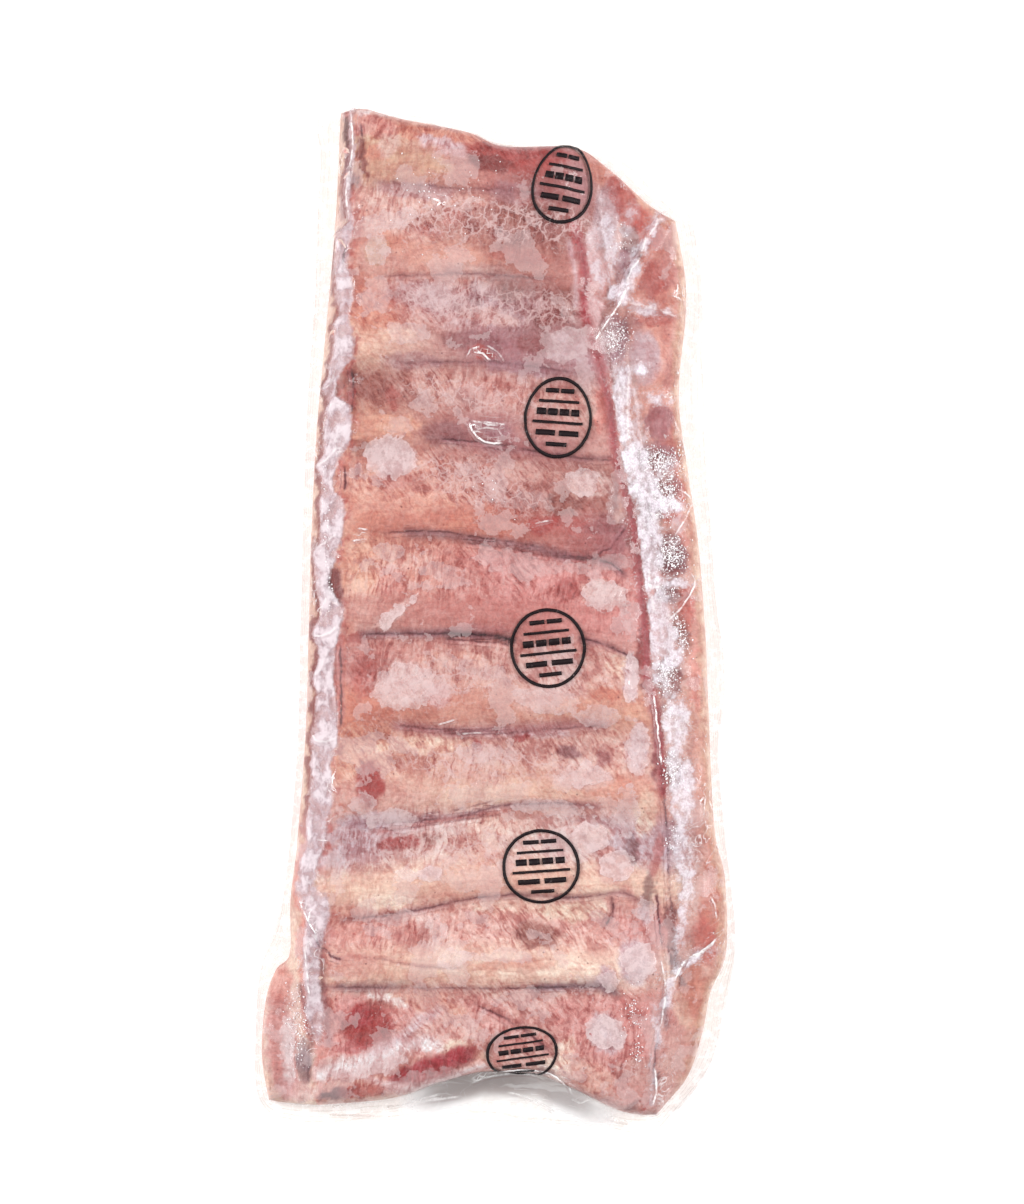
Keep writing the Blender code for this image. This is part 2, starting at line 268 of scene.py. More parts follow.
def addColours(mesh, name, colours):
    field = mesh.attributes.new(name, "FLOAT_COLOR", "POINT")
    rgba = np.concatenate([colours, np.ones((len(colours), 1))], axis=1)
    field.data.foreach_set("color", rgba.astype(np.float32).ravel())


def addPiece(name, work, material, replaces=(), outwards=True):
    if outwards:
        bmesh.ops.recalc_face_normals(work, faces=work.faces)
    mesh = bpy.data.meshes.new(name)
    work.to_mesh(mesh)
    work.free()
    mesh.shade_smooth()
    mesh.materials.append(material)
    piece = bpy.data.objects.new(name, mesh)
    bpy.context.scene.collection.objects.link(piece)
    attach(piece, "root")
    if replaces:
        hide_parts(*replaces)
    return piece


def newMaterial(name):
    made = bpy.data.materials.new(name)
    made.use_nodes = True
    made.node_tree.nodes.clear()
    return made, made.node_tree


def node(tree, kind, settings=None, **inputs):
    made = tree.nodes.new(kind)
    for key, value in (settings or {}).items():
        setattr(made, key, value)
    for key, value in inputs.items():
        socket = made.inputs[int(key[1:])] if key[0] == "i" and key[1:].isdigit() else made.inputs[key.replace("_", " ")]
        if isinstance(value, bpy.types.NodeSocket):
            tree.links.new(value, socket)
        else:
            socket.default_value = value
    return made


def maths(tree, operation, a, b=0.0, c=0.0):
    return node(tree, "ShaderNodeMath", {"operation": operation}, i0=a, i1=b, i2=c).outputs[0]


def blend(tree, share, under, over, how="MIX"):
    made = tree.nodes.new("ShaderNodeMix")
    made.data_type = "RGBA"
    made.blend_type = how
    for index, value in ((0, share), (6, under), (7, over)):
        if isinstance(value, bpy.types.NodeSocket):
            tree.links.new(value, made.inputs[index])
        else:
            made.inputs[index].default_value = value
    return made.outputs[2]


def ramp(tree, value, low, high):  # 0 at low, 1 at high, with an S between
    made = node(tree, "ShaderNodeMapRange", {"interpolation_type": "SMOOTHSTEP"}, i0=value, i1=low, i2=high)
    return made.outputs[0]


def newGroup(name, inputs, outputs):
    group = bpy.data.node_groups.new(name, "ShaderNodeTree")
    for label, kind, value in inputs:
        socket = group.interface.new_socket(label, in_out="INPUT", socket_type=kind)
        if value is not None:
            socket.default_value = value
    for label, kind in outputs:
        group.interface.new_socket(label, in_out="OUTPUT", socket_type=kind)
    start, end = group.nodes.new("NodeGroupInput"), group.nodes.new("NodeGroupOutput")
    return group, start, end


def use(tree, group, **inputs):
    made = tree.nodes.new("ShaderNodeGroup")
    made.node_tree = group
    for key, value in inputs.items():
        socket = made.inputs[key]
        if isinstance(value, bpy.types.NodeSocket):
            tree.links.new(value, socket)
        else:
            socket.default_value = value
    return made


def field(tree, name):
    return node(tree, "ShaderNodeAttribute", {"attribute_name": name})


def inMillimetres(tree):
    coordinates = tree.nodes.new("ShaderNodeTexCoord")
    return node(tree, "ShaderNodeMapping", i0=coordinates.outputs["Object"], i3=(1000, 1000, 1000)).outputs[0]


# ---- effects that more than one material uses


def makeStreaks():  # long thin noise, turned to run one way
    group, start, end = newGroup(
        "streaks",
        [("Place", "NodeSocketVector", None), ("Turn", "NodeSocketFloat", 0.0), ("Length", "NodeSocketFloat", 8.0),
         ("Width", "NodeSocketFloat", 1.0), ("Bend", "NodeSocketFloat", 0.5)],
        [("Value", "NodeSocketFloat")])
    sway = node(group, "ShaderNodeTexNoise", Vector=start.outputs["Place"], Scale=0.12, Detail=2.0)
    moved = node(group, "ShaderNodeVectorMath", {"operation": "MULTIPLY_ADD"}, i0=sway.outputs["Color"],
                 i1=(5, 5, 5), i2=start.outputs["Place"])
    turned = node(group, "ShaderNodeVectorRotate", {"rotation_type": "Z_AXIS"}, Vector=moved.outputs[0],
                  Angle=start.outputs["Turn"])
    apart = node(group, "ShaderNodeSeparateXYZ", Vector=turned.outputs[0])
    x = maths(group, "DIVIDE", apart.outputs[0], start.outputs["Length"])
    y = maths(group, "DIVIDE", apart.outputs[1], start.outputs["Width"])
    z = maths(group, "DIVIDE", apart.outputs[2], start.outputs["Length"])
    together = node(group, "ShaderNodeCombineXYZ", X=x, Y=y, Z=z)
    grain = node(group, "ShaderNodeTexNoise", Vector=together.outputs[0], Scale=1.0, Detail=4.0,
                 Distortion=start.outputs["Bend"])
    group.links.new(grain.outputs["Fac"], end.inputs[0])
    return group


def makeEdges():  # a soft field cut to a crisp, uneven edge
    group, start, end = newGroup(
        "unevenEdge",
        [("Field", "NodeSocketFloat", 0.0), ("Place", "NodeSocketVector", None), ("Size", "NodeSocketFloat", 0.4),
         ("Wobble", "NodeSocketFloat", 0.4), ("Softness", "NodeSocketFloat", 0.1)],
        [("Value", "NodeSocketFloat")])
    grain = node(group, "ShaderNodeTexNoise", Vector=start.outputs["Place"], Scale=start.outputs["Size"], Detail=3.0)
    offset = maths(group, "MULTIPLY", maths(group, "SUBTRACT", grain.outputs["Fac"], 0.5), start.outputs["Wobble"])
    shifted = maths(group, "ADD", start.outputs["Field"], offset)
    low = maths(group, "SUBTRACT", 0.5, start.outputs["Softness"])
    high = maths(group, "ADD", 0.5, start.outputs["Softness"])
    cut = node(group, "ShaderNodeMapRange", {"interpolation_type": "SMOOTHSTEP"}, i0=shifted, i1=low, i2=high)
    group.links.new(cut.outputs[0], end.inputs[0])
    return group


def makeWeb():  # thin pale strands round cells, as connective tissue
    group, start, end = newGroup(
        "web",
        [("Place", "NodeSocketVector", None), ("Cell", "NodeSocketFloat", 0.2), ("Strand", "NodeSocketFloat", 0.1)],
        [("Value", "NodeSocketFloat")])
    sway = node(group, "ShaderNodeTexNoise", Vector=start.outputs["Place"], Scale=0.35, Detail=3.0)
    moved = node(group, "ShaderNodeVectorMath", {"operation": "MULTIPLY_ADD"}, i0=sway.outputs["Color"],
                 i1=(6, 6, 6), i2=start.outputs["Place"])
    cells = node(group, "ShaderNodeTexVoronoi", {"feature": "DISTANCE_TO_EDGE"}, Vector=moved.outputs[0],
                 Scale=start.outputs["Cell"])
    strand = node(group, "ShaderNodeMapRange", {"interpolation_type": "SMOOTHSTEP"}, i0=cells.outputs["Distance"],
                  i1=start.outputs["Strand"], i2=0.0)
    group.links.new(strand.outputs[0], end.inputs[0])
    return group


def makeClouds():  # blotches pulled out along the grain
    group, start, end = newGroup(
        "clouds",
        [("Place", "NodeSocketVector", None), ("Scale", "NodeSocketFloat", 0.1), ("Grain", "NodeSocketFloat", 0.5),
         ("Pull", "NodeSocketFloat", 0.4)],
        [("Value", "NodeSocketFloat")])
    blot = node(group, "ShaderNodeTexNoise", Vector=start.outputs["Place"], Scale=start.outputs["Scale"], Detail=6.0,
                Roughness=0.6, Distortion=0.7).outputs["Fac"]
    pulled = maths(group, "MULTIPLY", maths(group, "SUBTRACT", start.outputs["Grain"], 0.5), start.outputs["Pull"])
    group.links.new(maths(group, "ADD", blot, pulled), end.inputs[0])
    return group


streaks, unevenEdge, web, clouds = makeStreaks(), makeEdges(), makeWeb(), makeClouds()
print("shared effects ready")

# ---- what the rack's surface shows: colours as seen on a screen, places in plan

palette = {
    "rosy": (208, 146, 140), "pale": (222, 176, 168), "tan": (220, 180, 160), "cream": (240, 206, 190),
    "bone": (252, 228, 214), "peach": (228, 176, 162), "orange": (219, 152, 135), "apricot": (231, 182, 164),
    "purple": (184, 128, 134), "violet": (176, 134, 146), "plum": (152, 96, 104), "wine": (112, 54, 66),
    "blood": (178, 76, 74), "red": (190, 100, 96), "deepRed": (150, 74, 72), "brown": (170, 108, 100),
    "pink": (224, 164, 160), "skin": (228, 186, 178), "web": (232, 200, 196), "milk": (238, 214, 214),
    "lilac": (210, 182, 188), "grey": (196, 174, 176), "slate": (142, 112, 124), "frost": (232, 220, 228),
    "white": (248, 240, 242), "shellLilac": (226, 202, 208), "shell": (230, 194, 196), "meat": (232, 166, 156), "lobe": (206, 112, 104),
    "cherry": (178, 62, 74), "marrow": (116, 52, 46), "deep": (168, 92, 88), "fat": (240, 212, 196), "ash": (178, 156, 152),
}
bands = [  # each rib's colour at the sawn side, the middle and the far end, then those of the gap below it
    (("tan", "rosy", "purple"), ("skin", "pale", "brown")),
    (("pale", "peach", "pink"), ("orange", "lilac", "brown")),
    (("cream", "purple", "lilac"), ("brown", "pale", "pale")),
    (("apricot", "purple", "pale"), ("peach", "pale", "brown")),
    (("peach", "orange", "purple"), ("apricot", "pink", "pink")),
    (("pale", "rosy", "pink"), ("rosy", "skin", "pale")),
    (("orange", "peach", "apricot"), ("apricot", "pale", "skin")),
    (("pale", "cream", "peach"), ("lilac", "skin", "lilac")),
    (("cream", "peach", "cream"), ("pink", "pink", "pink")),
    (("cream", "cream", "bone"), ("pink", "skin", "pink")),
]
dabs = [  # x, y, half length, half width, turn, colour, strength
    # broad tones
    (12, 128, 18, 38, 0, "deepRed", 0.42), (0, -34, 48, 26, 0, "deepRed", 0.13), (0, 24, 50, 42, 0, "red", 0.2), (10, 58, 34, 30, 0, "deepRed", 0.12),
    (0, -96, 50, 32, 0, "bone", 0.28), (-75, -145, 8, 24, 0, "milk", 0.5), (60, 120, 8, 30, 10, "blood", 0.3),
    (76, -104, 5, 16, 0, "lobe", 0.35),
    # the top edge and first rib
    (-24, 171, 26, 4, -9, "orange", 0.75), (8, 163, 22, 4.5, -6, "blood", 0.75), (40, 157, 16, 6, -42, "orange", 0.8),
    (52, 145, 12, 4, -50, "apricot", 0.9), (-42, 173, 8, 4, -12, "pink", 0.6), (-17, 165, 10, 2, -14, "shell", 0.8),
    (-26, 160, 12, 3.4, -10, "tan", 0.8), (-4, 160, 7, 3, -8, "deepRed", 0.75), (12, 158, 12, 4, -8, "red", 0.65),
    (-42, 163, 3.6, 3.4, 20, "orange", 0.75), (-37, 166, 5, 4, 60, "web", 0.5), (-46, 161, 1.6, 9, 10, "deepRed", 0.8),
    (-52, 171, 1.8, 8, 4, "marrow", 0.9), (-51, 158, 1.6, 9, 4, "plum", 0.8), (-28, 150, 16, 3, -4, "lilac", 0.6),
    (8, 149, 12, 4, -8, "violet", 0.4), (12, 148, 6, 3.4, -15, "rosy", 0.5),
    # first gap
    (-2, 138, 32, 8, -4, "deepRed", 0.35),
    (8, 141, 9, 4.4, -6, "brown", 0.9), (-8, 138, 3.2, 2.6, -40, "deepRed", 0.7), (-15, 141, 4, 2.4, 40, "rosy", 0.7),
    (1, 136, 3, 2.4, 20, "deepRed", 0.7), (-32, 143, 9, 3, 8, "skin", 0.7), (-24, 136, 6, 3, 0, "red", 0.45),
    (-38, 132, 9, 3.4, -4, "orange", 0.7), (18, 138, 5, 3, 30, "deepRed", 0.5),
    # second rib and gap
    (-41, 129, 4.4, 5.4, 0, "tan", 0.75), (-26, 128, 10, 4, -8, "peach", 0.6), (8, 127, 12, 2.6, -6, "red", 0.4),
    (-6, 122, 14, 3, -4, "grey", 0.35), (-37, 112, 3, 3, 0, "red", 0.5), (-7, 114, 2.2, 4.6, 10, "plum", 0.6),
    (5, 115, 5, 3.4, -20, "brown", 0.8), (18, 106, 6, 3.6, 10, "deepRed", 0.8), (26, 112, 7, 5, 0, "brown", 0.6),
    (-24, 113, 14, 6, -14, "lilac", 0.6), (-42, 106, 8, 7, 10, "orange", 0.65), (-2, 106, 12, 3, -10, "pale", 0.6),
    # third rib
    (-34, 100, 7, 3, 0, "cream", 0.9), (-8, 97, 13, 4.4, -6, "plum", 0.55), (14, 96, 8, 3.6, -6, "deepRed", 0.5),
    (-4, 93, 5, 3, -25, "red", 0.9), (26, 96, 8, 6, 30, "lilac", 0.6), (10, 88, 16, 2.6, -8, "violet", 0.5),
    (-28, 90, 12, 4, -5, "violet", 0.4), (-44, 82, 6, 4, 10, "brown", 0.7), (-36, 78, 3, 5, 0, "red", 0.5),
    # third gap and fourth rib
    (-20, 84, 12, 5, -8, "pale", 0.6), (2, 80, 16, 5, -8, "rosy", 0.5), (-36, 68, 14, 3.6, 0, "apricot", 0.9),
    (-18, 65, 9, 5, -8, "plum", 0.6), (-2, 67, 9, 3, -8, "violet", 0.5), (16, 66, 12, 4, 0, "pale", 0.4),
    (-50, 84, 1, 6, 0, "blood", 0.8), (-50, 77, 1.6, 4, 0, "blood", 0.7), (-47, 60, 4, 3.4, 0, "deepRed", 0.55),
    # fourth gap
    (-36, 57, 9, 7, 0, "web", 0.6), (-48, 52, 1.6, 4, 0, "blood", 0.85), (-36, 49, 8, 4, 0, "rosy", 0.7),
    (24, 41, 8, 5, 10, "brown", 0.9), (31, 47, 7, 5, 15, "skin", 0.8), (12, 52, 14, 4, -10, "pale", 0.4),
    (20, 35, 3.4, 2.4, 0, "blood", 0.8), (-8, 46, 10, 5, -30, "pale", 0.5), (42, 57, 3, 6, 0, "rosy", 0.5),
    (-24, 41, 14, 4, 6, "peach", 0.7), (43, 43, 3, 6, 20, "plum", 0.35),
    # fifth rib and gap
    (-14, 33.5, 8, 2.6, 6, "orange", 0.85), (16, 33, 5, 3, 0, "blood", 0.75), (26, 33, 10, 3.6, -6, "red", 0.45),
    (38, 33, 8, 3.6, 12, "plum", 0.4), (-44, 34, 7, 4, 0, "orange", 0.6), (26, 11, 5, 5, 0, "blood", 0.65),
    (38, 9, 9, 5, -10, "skin", 0.8), (-30, 20, 12, 3, 4, "skin", 0.5), (-56, 12, 3.2, 6, 0, "deepRed", 0.95),
    (-36, 14, 6, 6, 0, "pink", 0.5), (-6, 12, 12, 5, 0, "rosy", 0.5), (48, 16, 4, 10, 10, "pink", 0.6),
    # sixth rib
    (-35, 2, 8, 1.8, 40, "skin", 0.85), (-14, 4, 12, 3, -8, "rosy", 0.6), (-48, -6, 4, 2.6, 0, "blood", 0.6),
    (-8, -4, 16, 2.4, 2, "purple", 0.4), (30, 0, 8, 3, -20, "pink", 0.5),
    # sixth gap
    (-34, -22, 10, 9, 20, "web", 0.5), (-20, -26, 5, 5, 0, "shell", 0.6), (-46, -20, 5, 8, 0, "red", 0.5),
    (20, -22, 14, 6, -20, "web", 0.55), (39, -26, 6, 2.6, 0, "orange", 0.85), (43, -16, 4, 5, 0, "cream", 0.6),
    (-14, -14, 14, 3.4, -4, "peach", 0.6), (4, -14, 5, 3, 0, "rosy", 0.5),
    # seventh rib and gap
    (-44, -30, 6, 5, 0, "orange", 0.5), (24, -30, 14, 4, 0, "apricot", 0.6), (14, -40, 16, 2, 0, "lilac", 0.5),
    (-28, -44, 22, 3.4, 2, "cream", 0.8), (-43.5, -57, 5.4, 9, 0, "blood", 0.95), (-6.4, -44, 1.9, 2.4, 0, "blood", 0.95),
    (9, -41, 3, 1.6, 0, "blood", 0.95), (26, -46, 4.6, 2.6, -10, "plum", 0.75), (38, -49, 3, 3, 0, "purple", 0.6),
    (-8, -52, 14, 5, -20, "pale", 0.6), (28, -54, 9, 5, 10, "web", 0.7), (42, -56, 7, 3, 0, "orange", 0.6),
    # eighth rib and gap
    (8, -61, 26, 3, 3, "cream", 0.75), (-30, -62, 10, 2.6, 0, "skin", 0.6), (-44, -70, 11, 3.4, 6, "lilac", 0.9),
    (-34, -78, 9, 2.8, 4, "blood", 0.85), (-22, -76, 4, 2, 0, "deepRed", 0.5), (33, -74, 9, 3, -8, "web", 0.85),
    (38, -80, 3, 3, 0, "rosy", 0.8), (-31, -88, 4.4, 2, 0, "bone", 0.8), (-22.5, -88, 4, 3, 0, "skin", 0.85),
    (-4, -78, 12, 5, -10, "pale", 0.5), (48, -80, 3, 6, 0, "wine", 0.5), (41, -87, 6, 6, 0, "skin", 0.8),
    # ninth rib and gap
    (-38, -98, 12, 3.4, 4, "bone", 0.75), (0, -95, 24, 4, 3, "peach", 0.5), (28, -102, 14, 3.4, 0, "fat", 0.8),
    (-50, -106, 7, 7, 0, "orange", 0.35), (-30, -111, 8, 4, -10, "red", 0.4), (-24, -108, 3, 7, 10, "web", 0.6),
    (15, -110, 9, 5, -6, "brown", 0.85), (-15, -117, 6, 3.4, 0, "bone", 0.7), (44, -100, 8, 7, 0, "pink", 0.6),
    # tenth rib and the bottom
    (-50, -121, 11, 4.4, 4, "pink", 0.5), (-38, -124, 14, 3, 4, "peach", 0.4), (8, -121, 16, 3, 2, "peach", 0.8),
    (29, -122, 8, 4, 6, "bone", 0.95), (39, -126, 3, 4.6, 0, "shell", 0.9), (-42, -128, 14, 3, 2, "ash", 0.35),
    (-38, -133, 8, 3, 0, "fat", 0.5), (-44, -142, 9, 8, 0, "blood", 0.8), (-22, -134, 14, 5, -20, "peach", 0.8),
    (-28, -146, 5, 10, -40, "skin", 0.6), (0, -140, 14, 6, -36, "pink", 0.6), (-12, -150, 9, 3, 0, "fat", 0.9),
    (-6, -152, 4, 2.6, 0, "tan", 0.6), (-13, -155, 6, 3, 20, "deepRed", 0.7), (-26, -159, 12, 5, 14, "cherry", 0.75),
    (-42, -156, 12, 3.4, 16, "milk", 0.9), (-54, -165, 8, 3, 10, "rosy", 0.6), (-57, -166, 5, 2.4, 0, "wine", 0.85),
    (-28, -166, 9, 3, 8, "skin", 0.8), (-48, -171, 18, 2.4, 2, "orange", 0.7), (-20, -162, 14, 2, 14, "shell", 0.7),
    (28, -140, 10, 7, -30, "pink", 0.7), (40, -150, 8, 10, -20, "pink", 0.7), (34, -160, 8, 6, -30, "peach", 0.5),
    (20, -158, 6, 7, -40, "bone", 0.6), (48, -165, 8, 4, -20, "rosy", 0.6), (0, -148, 8, 4, 0, "rosy", 0.5),
    # along the seam
    (28.5, 131, 2.4, 6, -8, "blood", 0.9), (31, 119, 2.4, 6, -14, "lobe", 0.9), (35, 105, 2.4, 8, -12, "red", 0.7),
    (38, 76, 3, 12, -10, "meat", 0.8), (45, 72, 2, 14, -10, "orange", 0.6), (45, 47, 2.4, 14, -8, "apricot", 0.6),
    (48, 32, 1.6, 8, -12, "deepRed", 0.95), (50, 22, 1.8, 7, -8, "blood", 0.8), (52, -6, 1.8, 14, -6, "deepRed", 0.85),
    (53.5, -22, 2.6, 4, 0, "wine", 0.75), (57, -42, 1.6, 16, -4, "plum", 0.8), (47.5, -20, 3, 9, 0, "shell", 0.8),
    (50, -44, 4, 9, -8, "shell", 0.7), (52.5, -67, 4.4, 9, 0, "fat", 0.7), (53.6, -94, 2.2, 8, -10, "wine", 0.6),
    (61, -104, 2.6, 5, 0, "deepRed", 0.85), (57, -82, 2.4, 8, -8, "red", 0.6), (57, -132, 4, 12, 8, "rosy", 0.5),
    (64, -121, 2.6, 3, 0, "wine", 0.8), (54, -118, 5, 8, 0, "shell", 0.5),
    # the flap, from the top
    (39, 142, 5.4, 13, -6, "lilac", 0.9), (46, 132, 6, 7, 0, "web", 0.85), (46, 146, 5, 13, 24, "red", 0.8),
    (53, 138, 5, 10, 30, "lobe", 0.75), (47, 126, 4, 6, 0, "violet", 0.8), (36, 123, 4, 8, -10, "shell", 0.7),
    (56, 120, 6, 7, 0, "red", 0.7), (62, 124, 4, 9, 0, "rosy", 0.7), (64, 110, 4, 10, 0, "peach", 0.7),
    (56, 106, 8, 3, 0, "red", 0.6), (53, 90, 6, 8, 0, "shell", 0.7), (62, 86, 3, 8, 0, "rosy", 0.8),
    (57, 70, 5, 7, 0, "purple", 0.6), (62, 62, 5, 12, 0, "red", 0.55), (64, 44, 5, 12, -20, "lobe", 0.75),
    (62, 22, 5, 11, 0, "deepRed", 0.55), (67, 34, 3, 12, 0, "meat", 0.8), (67, 4, 3, 10, 0, "lobe", 0.7),
    (71, -20, 3, 14, 0, "meat", 0.8), (73, -46, 2.6, 18, 0, "peach", 0.7), (78, -92, 4, 22, 2, "orange", 0.8),
    (74, -112, 5, 10, 8, "lobe", 0.6), (70, -132, 6, 16, 14, "orange", 0.75), (60, -150, 6, 14, 20, "skin", 0.6),
    # the pad and the sawn side
    (-75, -150, 6, 22, 6, "pink", 0.9), (-73, -148, 3, 10, 0, "milk", 0.8), (-67, -152, 3, 7, 0, "grey", 0.8),
    (-76, -128, 5, 8, 0, "meat", 0.7), (-70, -165, 8, 5, 0, "shell", 0.6), (-62, -150, 2, 16, 4, "rosy", 0.5),
]
seamCut = [(27.5, 139), (30, 131), (31.6, 120), (31, 108), (34, 98), (37.4, 87), (40, 76), (42, 60), (45.6, 44),
           (48.4, 34), (49.6, 24), (51.2, 12), (52.2, 0), (53, -10), (52.8, -19), (55.4, -28), (57, -38), (58, -50),
           (58.8, -60)]  # the bare wine-red line beside the ribs' ends
veins = [  # dark lines: colour, strength, width, points
    ("plum", 0.35, 1.0, [(-42, 153), (-20, 151), (0, 150), (20, 148)]),
    ("plum", 0.3, 1.0, [(-40, 120), (-10, 121), (20, 119)]),
    ("plum", 0.35, 1.0, [(-34, 90), (0, 90), (30, 86)]),
    ("plum", 0.5, 0.8, [(-4, 60), (14, 59), (30, 56), (40, 57), (44, 50)]),
    ("slate", 0.6, 1.9, [(-30, 30.4), (-16, 29.6), (2, 27), (16, 24.6), (24, 22.6)]),
    ("plum", 0.65, 1.4, [(22, 22.6), (34, 21.6), (42, 19), (45, 16)]),
    ("slate", 0.6, 1.6, [(-46, -5), (-30, -4.6), (-15, -4.8)]),
    ("wine", 0.95, 1.2, [(-16, -4.8), (-6, -5), (6, -7)]),
    ("plum", 0.55, 1.1, [(30, -6.6), (40, -9), (48, -13)]),
    ("purple", 0.75, 2.2, [(-34, -37), (-14, -39.4), (6, -38.4), (24, -37), (38, -36.6)]),
    ("violet", 0.55, 1.6, [(-50, -71), (-30, -69.6), (-12, -68.6), (2, -65), (20, -64), (36, -65)]),
    ("red", 0.55, 0.9, [(-40, -74), (-18, -70), (4, -67)]),
    ("plum", 0.5, 1.2, [(-53, -105), (-30, -102), (-8, -97.4), (8, -96), (28, -97), (44, -95), (53, -99)]),
    ("deepRed", 0.7, 0.6, [(40.6, -97), (41, -102), (38.6, -107)]),
    ("red", 0.4, 1.0, [(-51, -117), (-40, -118), (-25, -121)]),
    ("plum", 0.4, 1.2, [(-60, -128), (-30, -128.6), (2, -129), (20, -128.4), (38, -128)]),
    ("slate", 0.75, 1.8, [(15, -128.6), (26, -128), (35, -127.6), (42, -130)]),
    ("rosy", 0.8, 1.4, [(-10, -133), (8, -142), (20, -152)]),
    ("deepRed", 0.75, 0.8, [(39, 96), (44, 70), (47, 50), (49, 36)]),
    ("slate", 0.4, 1.2, [(-68, -128), (-64, -145), (-65, -160)]),
    ("plum", 0.6, 1.2, [(-61, -112), (-60, -128), (-58, -148)]),
    ("cherry", 0.85, 2.6, [(-35, -160.4), (-27, -157.4), (-19, -154), (-8, -150.4)]),
    ("bone", 0.8, 1.8, [(2, -123.4), (14, -123), (26, -122.4), (35, -123)]),
    ("cream", 0.6, 1.8, [(-6, -101), (10, -100.6), (28, -102)]),
    ("white", 0.9, 2.2, [(-61, -159), (-52, -156.4), (-41, -153.4), (-33, -149.6), (-24, -147)]), ("milk", 0.9, 1.1, [(-50, -158), (-38, -162.4), (-26, -163.4), (-14, -159.4), (-4, -156)]),
    ("shellLilac", 0.7, 2.0, [(-42, -151), (-32, -146), (-26, -140), (-20, -137)]),
    ("blood", 0.5, 2.6, seamCut), ("cherry", 1.0, 1.6, seamCut),
        ("shellLilac", 0.6, 1.0, [(26, 132), (28.4, 120), (28, 110)]),
]
fibrePatches = [  # where lean fibres show: x, y, half length, half width, turn, strength
    (-30, 142, 16, 6, 0, 0.6), (4, 140, 16, 6, -10, 0.5), (-10, 112, 24, 7, -8, 0.7), (20, 108, 12, 6, 0, 0.8),
    (-20, 82, 20, 5, -8, 0.5), (-6, 46, 28, 8, -20, 0.8), (-4, 14, 30, 8, -4, 0.65), (-42, 16, 8, 8, 0, 0.8),
    (-28, -22, 18, 9, 0, 0.7), (14, -18, 20, 8, -10, 0.7), (-6, -52, 26, 6, -4, 0.7), (24, -48, 12, 6, 0, 0.6),
    (-24, -80, 22, 6, 0, 0.6), (4, -80, 16, 6, 0, 0.6), (-30, -110, 22, 6, 0, 0.5), (14, -110, 16, 6, 0, 0.8),
    (10, -142, 26, 10, -36, 0.7), (-20, -160, 16, 5, 14, 0.6), (40, -150, 12, 14, 0, 0.5),
]
stripEdges = [  # the frosted strip on the sawn side: y, and the x of its outer and inner edges
    (180, -50.8, -49.4), (163, -50.2, -48.7), (152, -52.4, -50.6), (146, -52.4, -50.6), (139, -50.8, -49.2),
    (135, -55.3, -49.4), (129, -56.2, -51.5), (123, -56.4, -52), (118, -55.3, -49.7), (112, -55.3, -49.4),
    (107, -54.3, -50.8), (103, -56.4, -50.4), (95, -56, -49.4), (91, -57.2, -49.5), (88.6, -57.8, -52.5),
    (84.7, -58.5, -55.3), (81, -61, -55.7), (78, -58.5, -56), (75, -59, -50.6), (71, -60.2, -49.5),
    (61.6, -60, -50.8), (58, -60, -52.9), (54, -63.2, -55), (50, -60.9, -57), (45, -61, -56.5),
    (42, -61.3, -52.6), (30, -61.3, -53.2), (24.5, -64.2, -55), (17, -63.4, -57), (13, -63.1, -58.4),
    (6, -61.4, -54.5), (2, -61.3, -52.9), (-3, -63.4, -54.5), (-5, -64.6, -54.6), (-9, -62.3, -55.7),
    (-15, -62, -56.4), (-20, -64.2, -56.7), (-26, -62.5, -55.7), (-37, -63.7, -54.5), (-40, -65, -54.7),
    (-45, -64, -55.7), (-51, -65.1, -57.8), (-56, -64.5, -56.7), (-63, -65.1, -56.4), (-71, -66.2, -59),
    (-78, -66.2, -59.5), (-84, -68.3, -62), (-93, -70, -63.4), (-98, -69, -57.8), (-105, -65.5, -57.8),
    (-112, -67.2, -59.9), (-117, -67.2, -61.3), (-125, -66.9, -61.3), (-133, -65.5, -60.9), (-138, -66.2, -59.2),
    (-146, -63, -61), (-152, -61, -65), (-180, -60, -66),
]
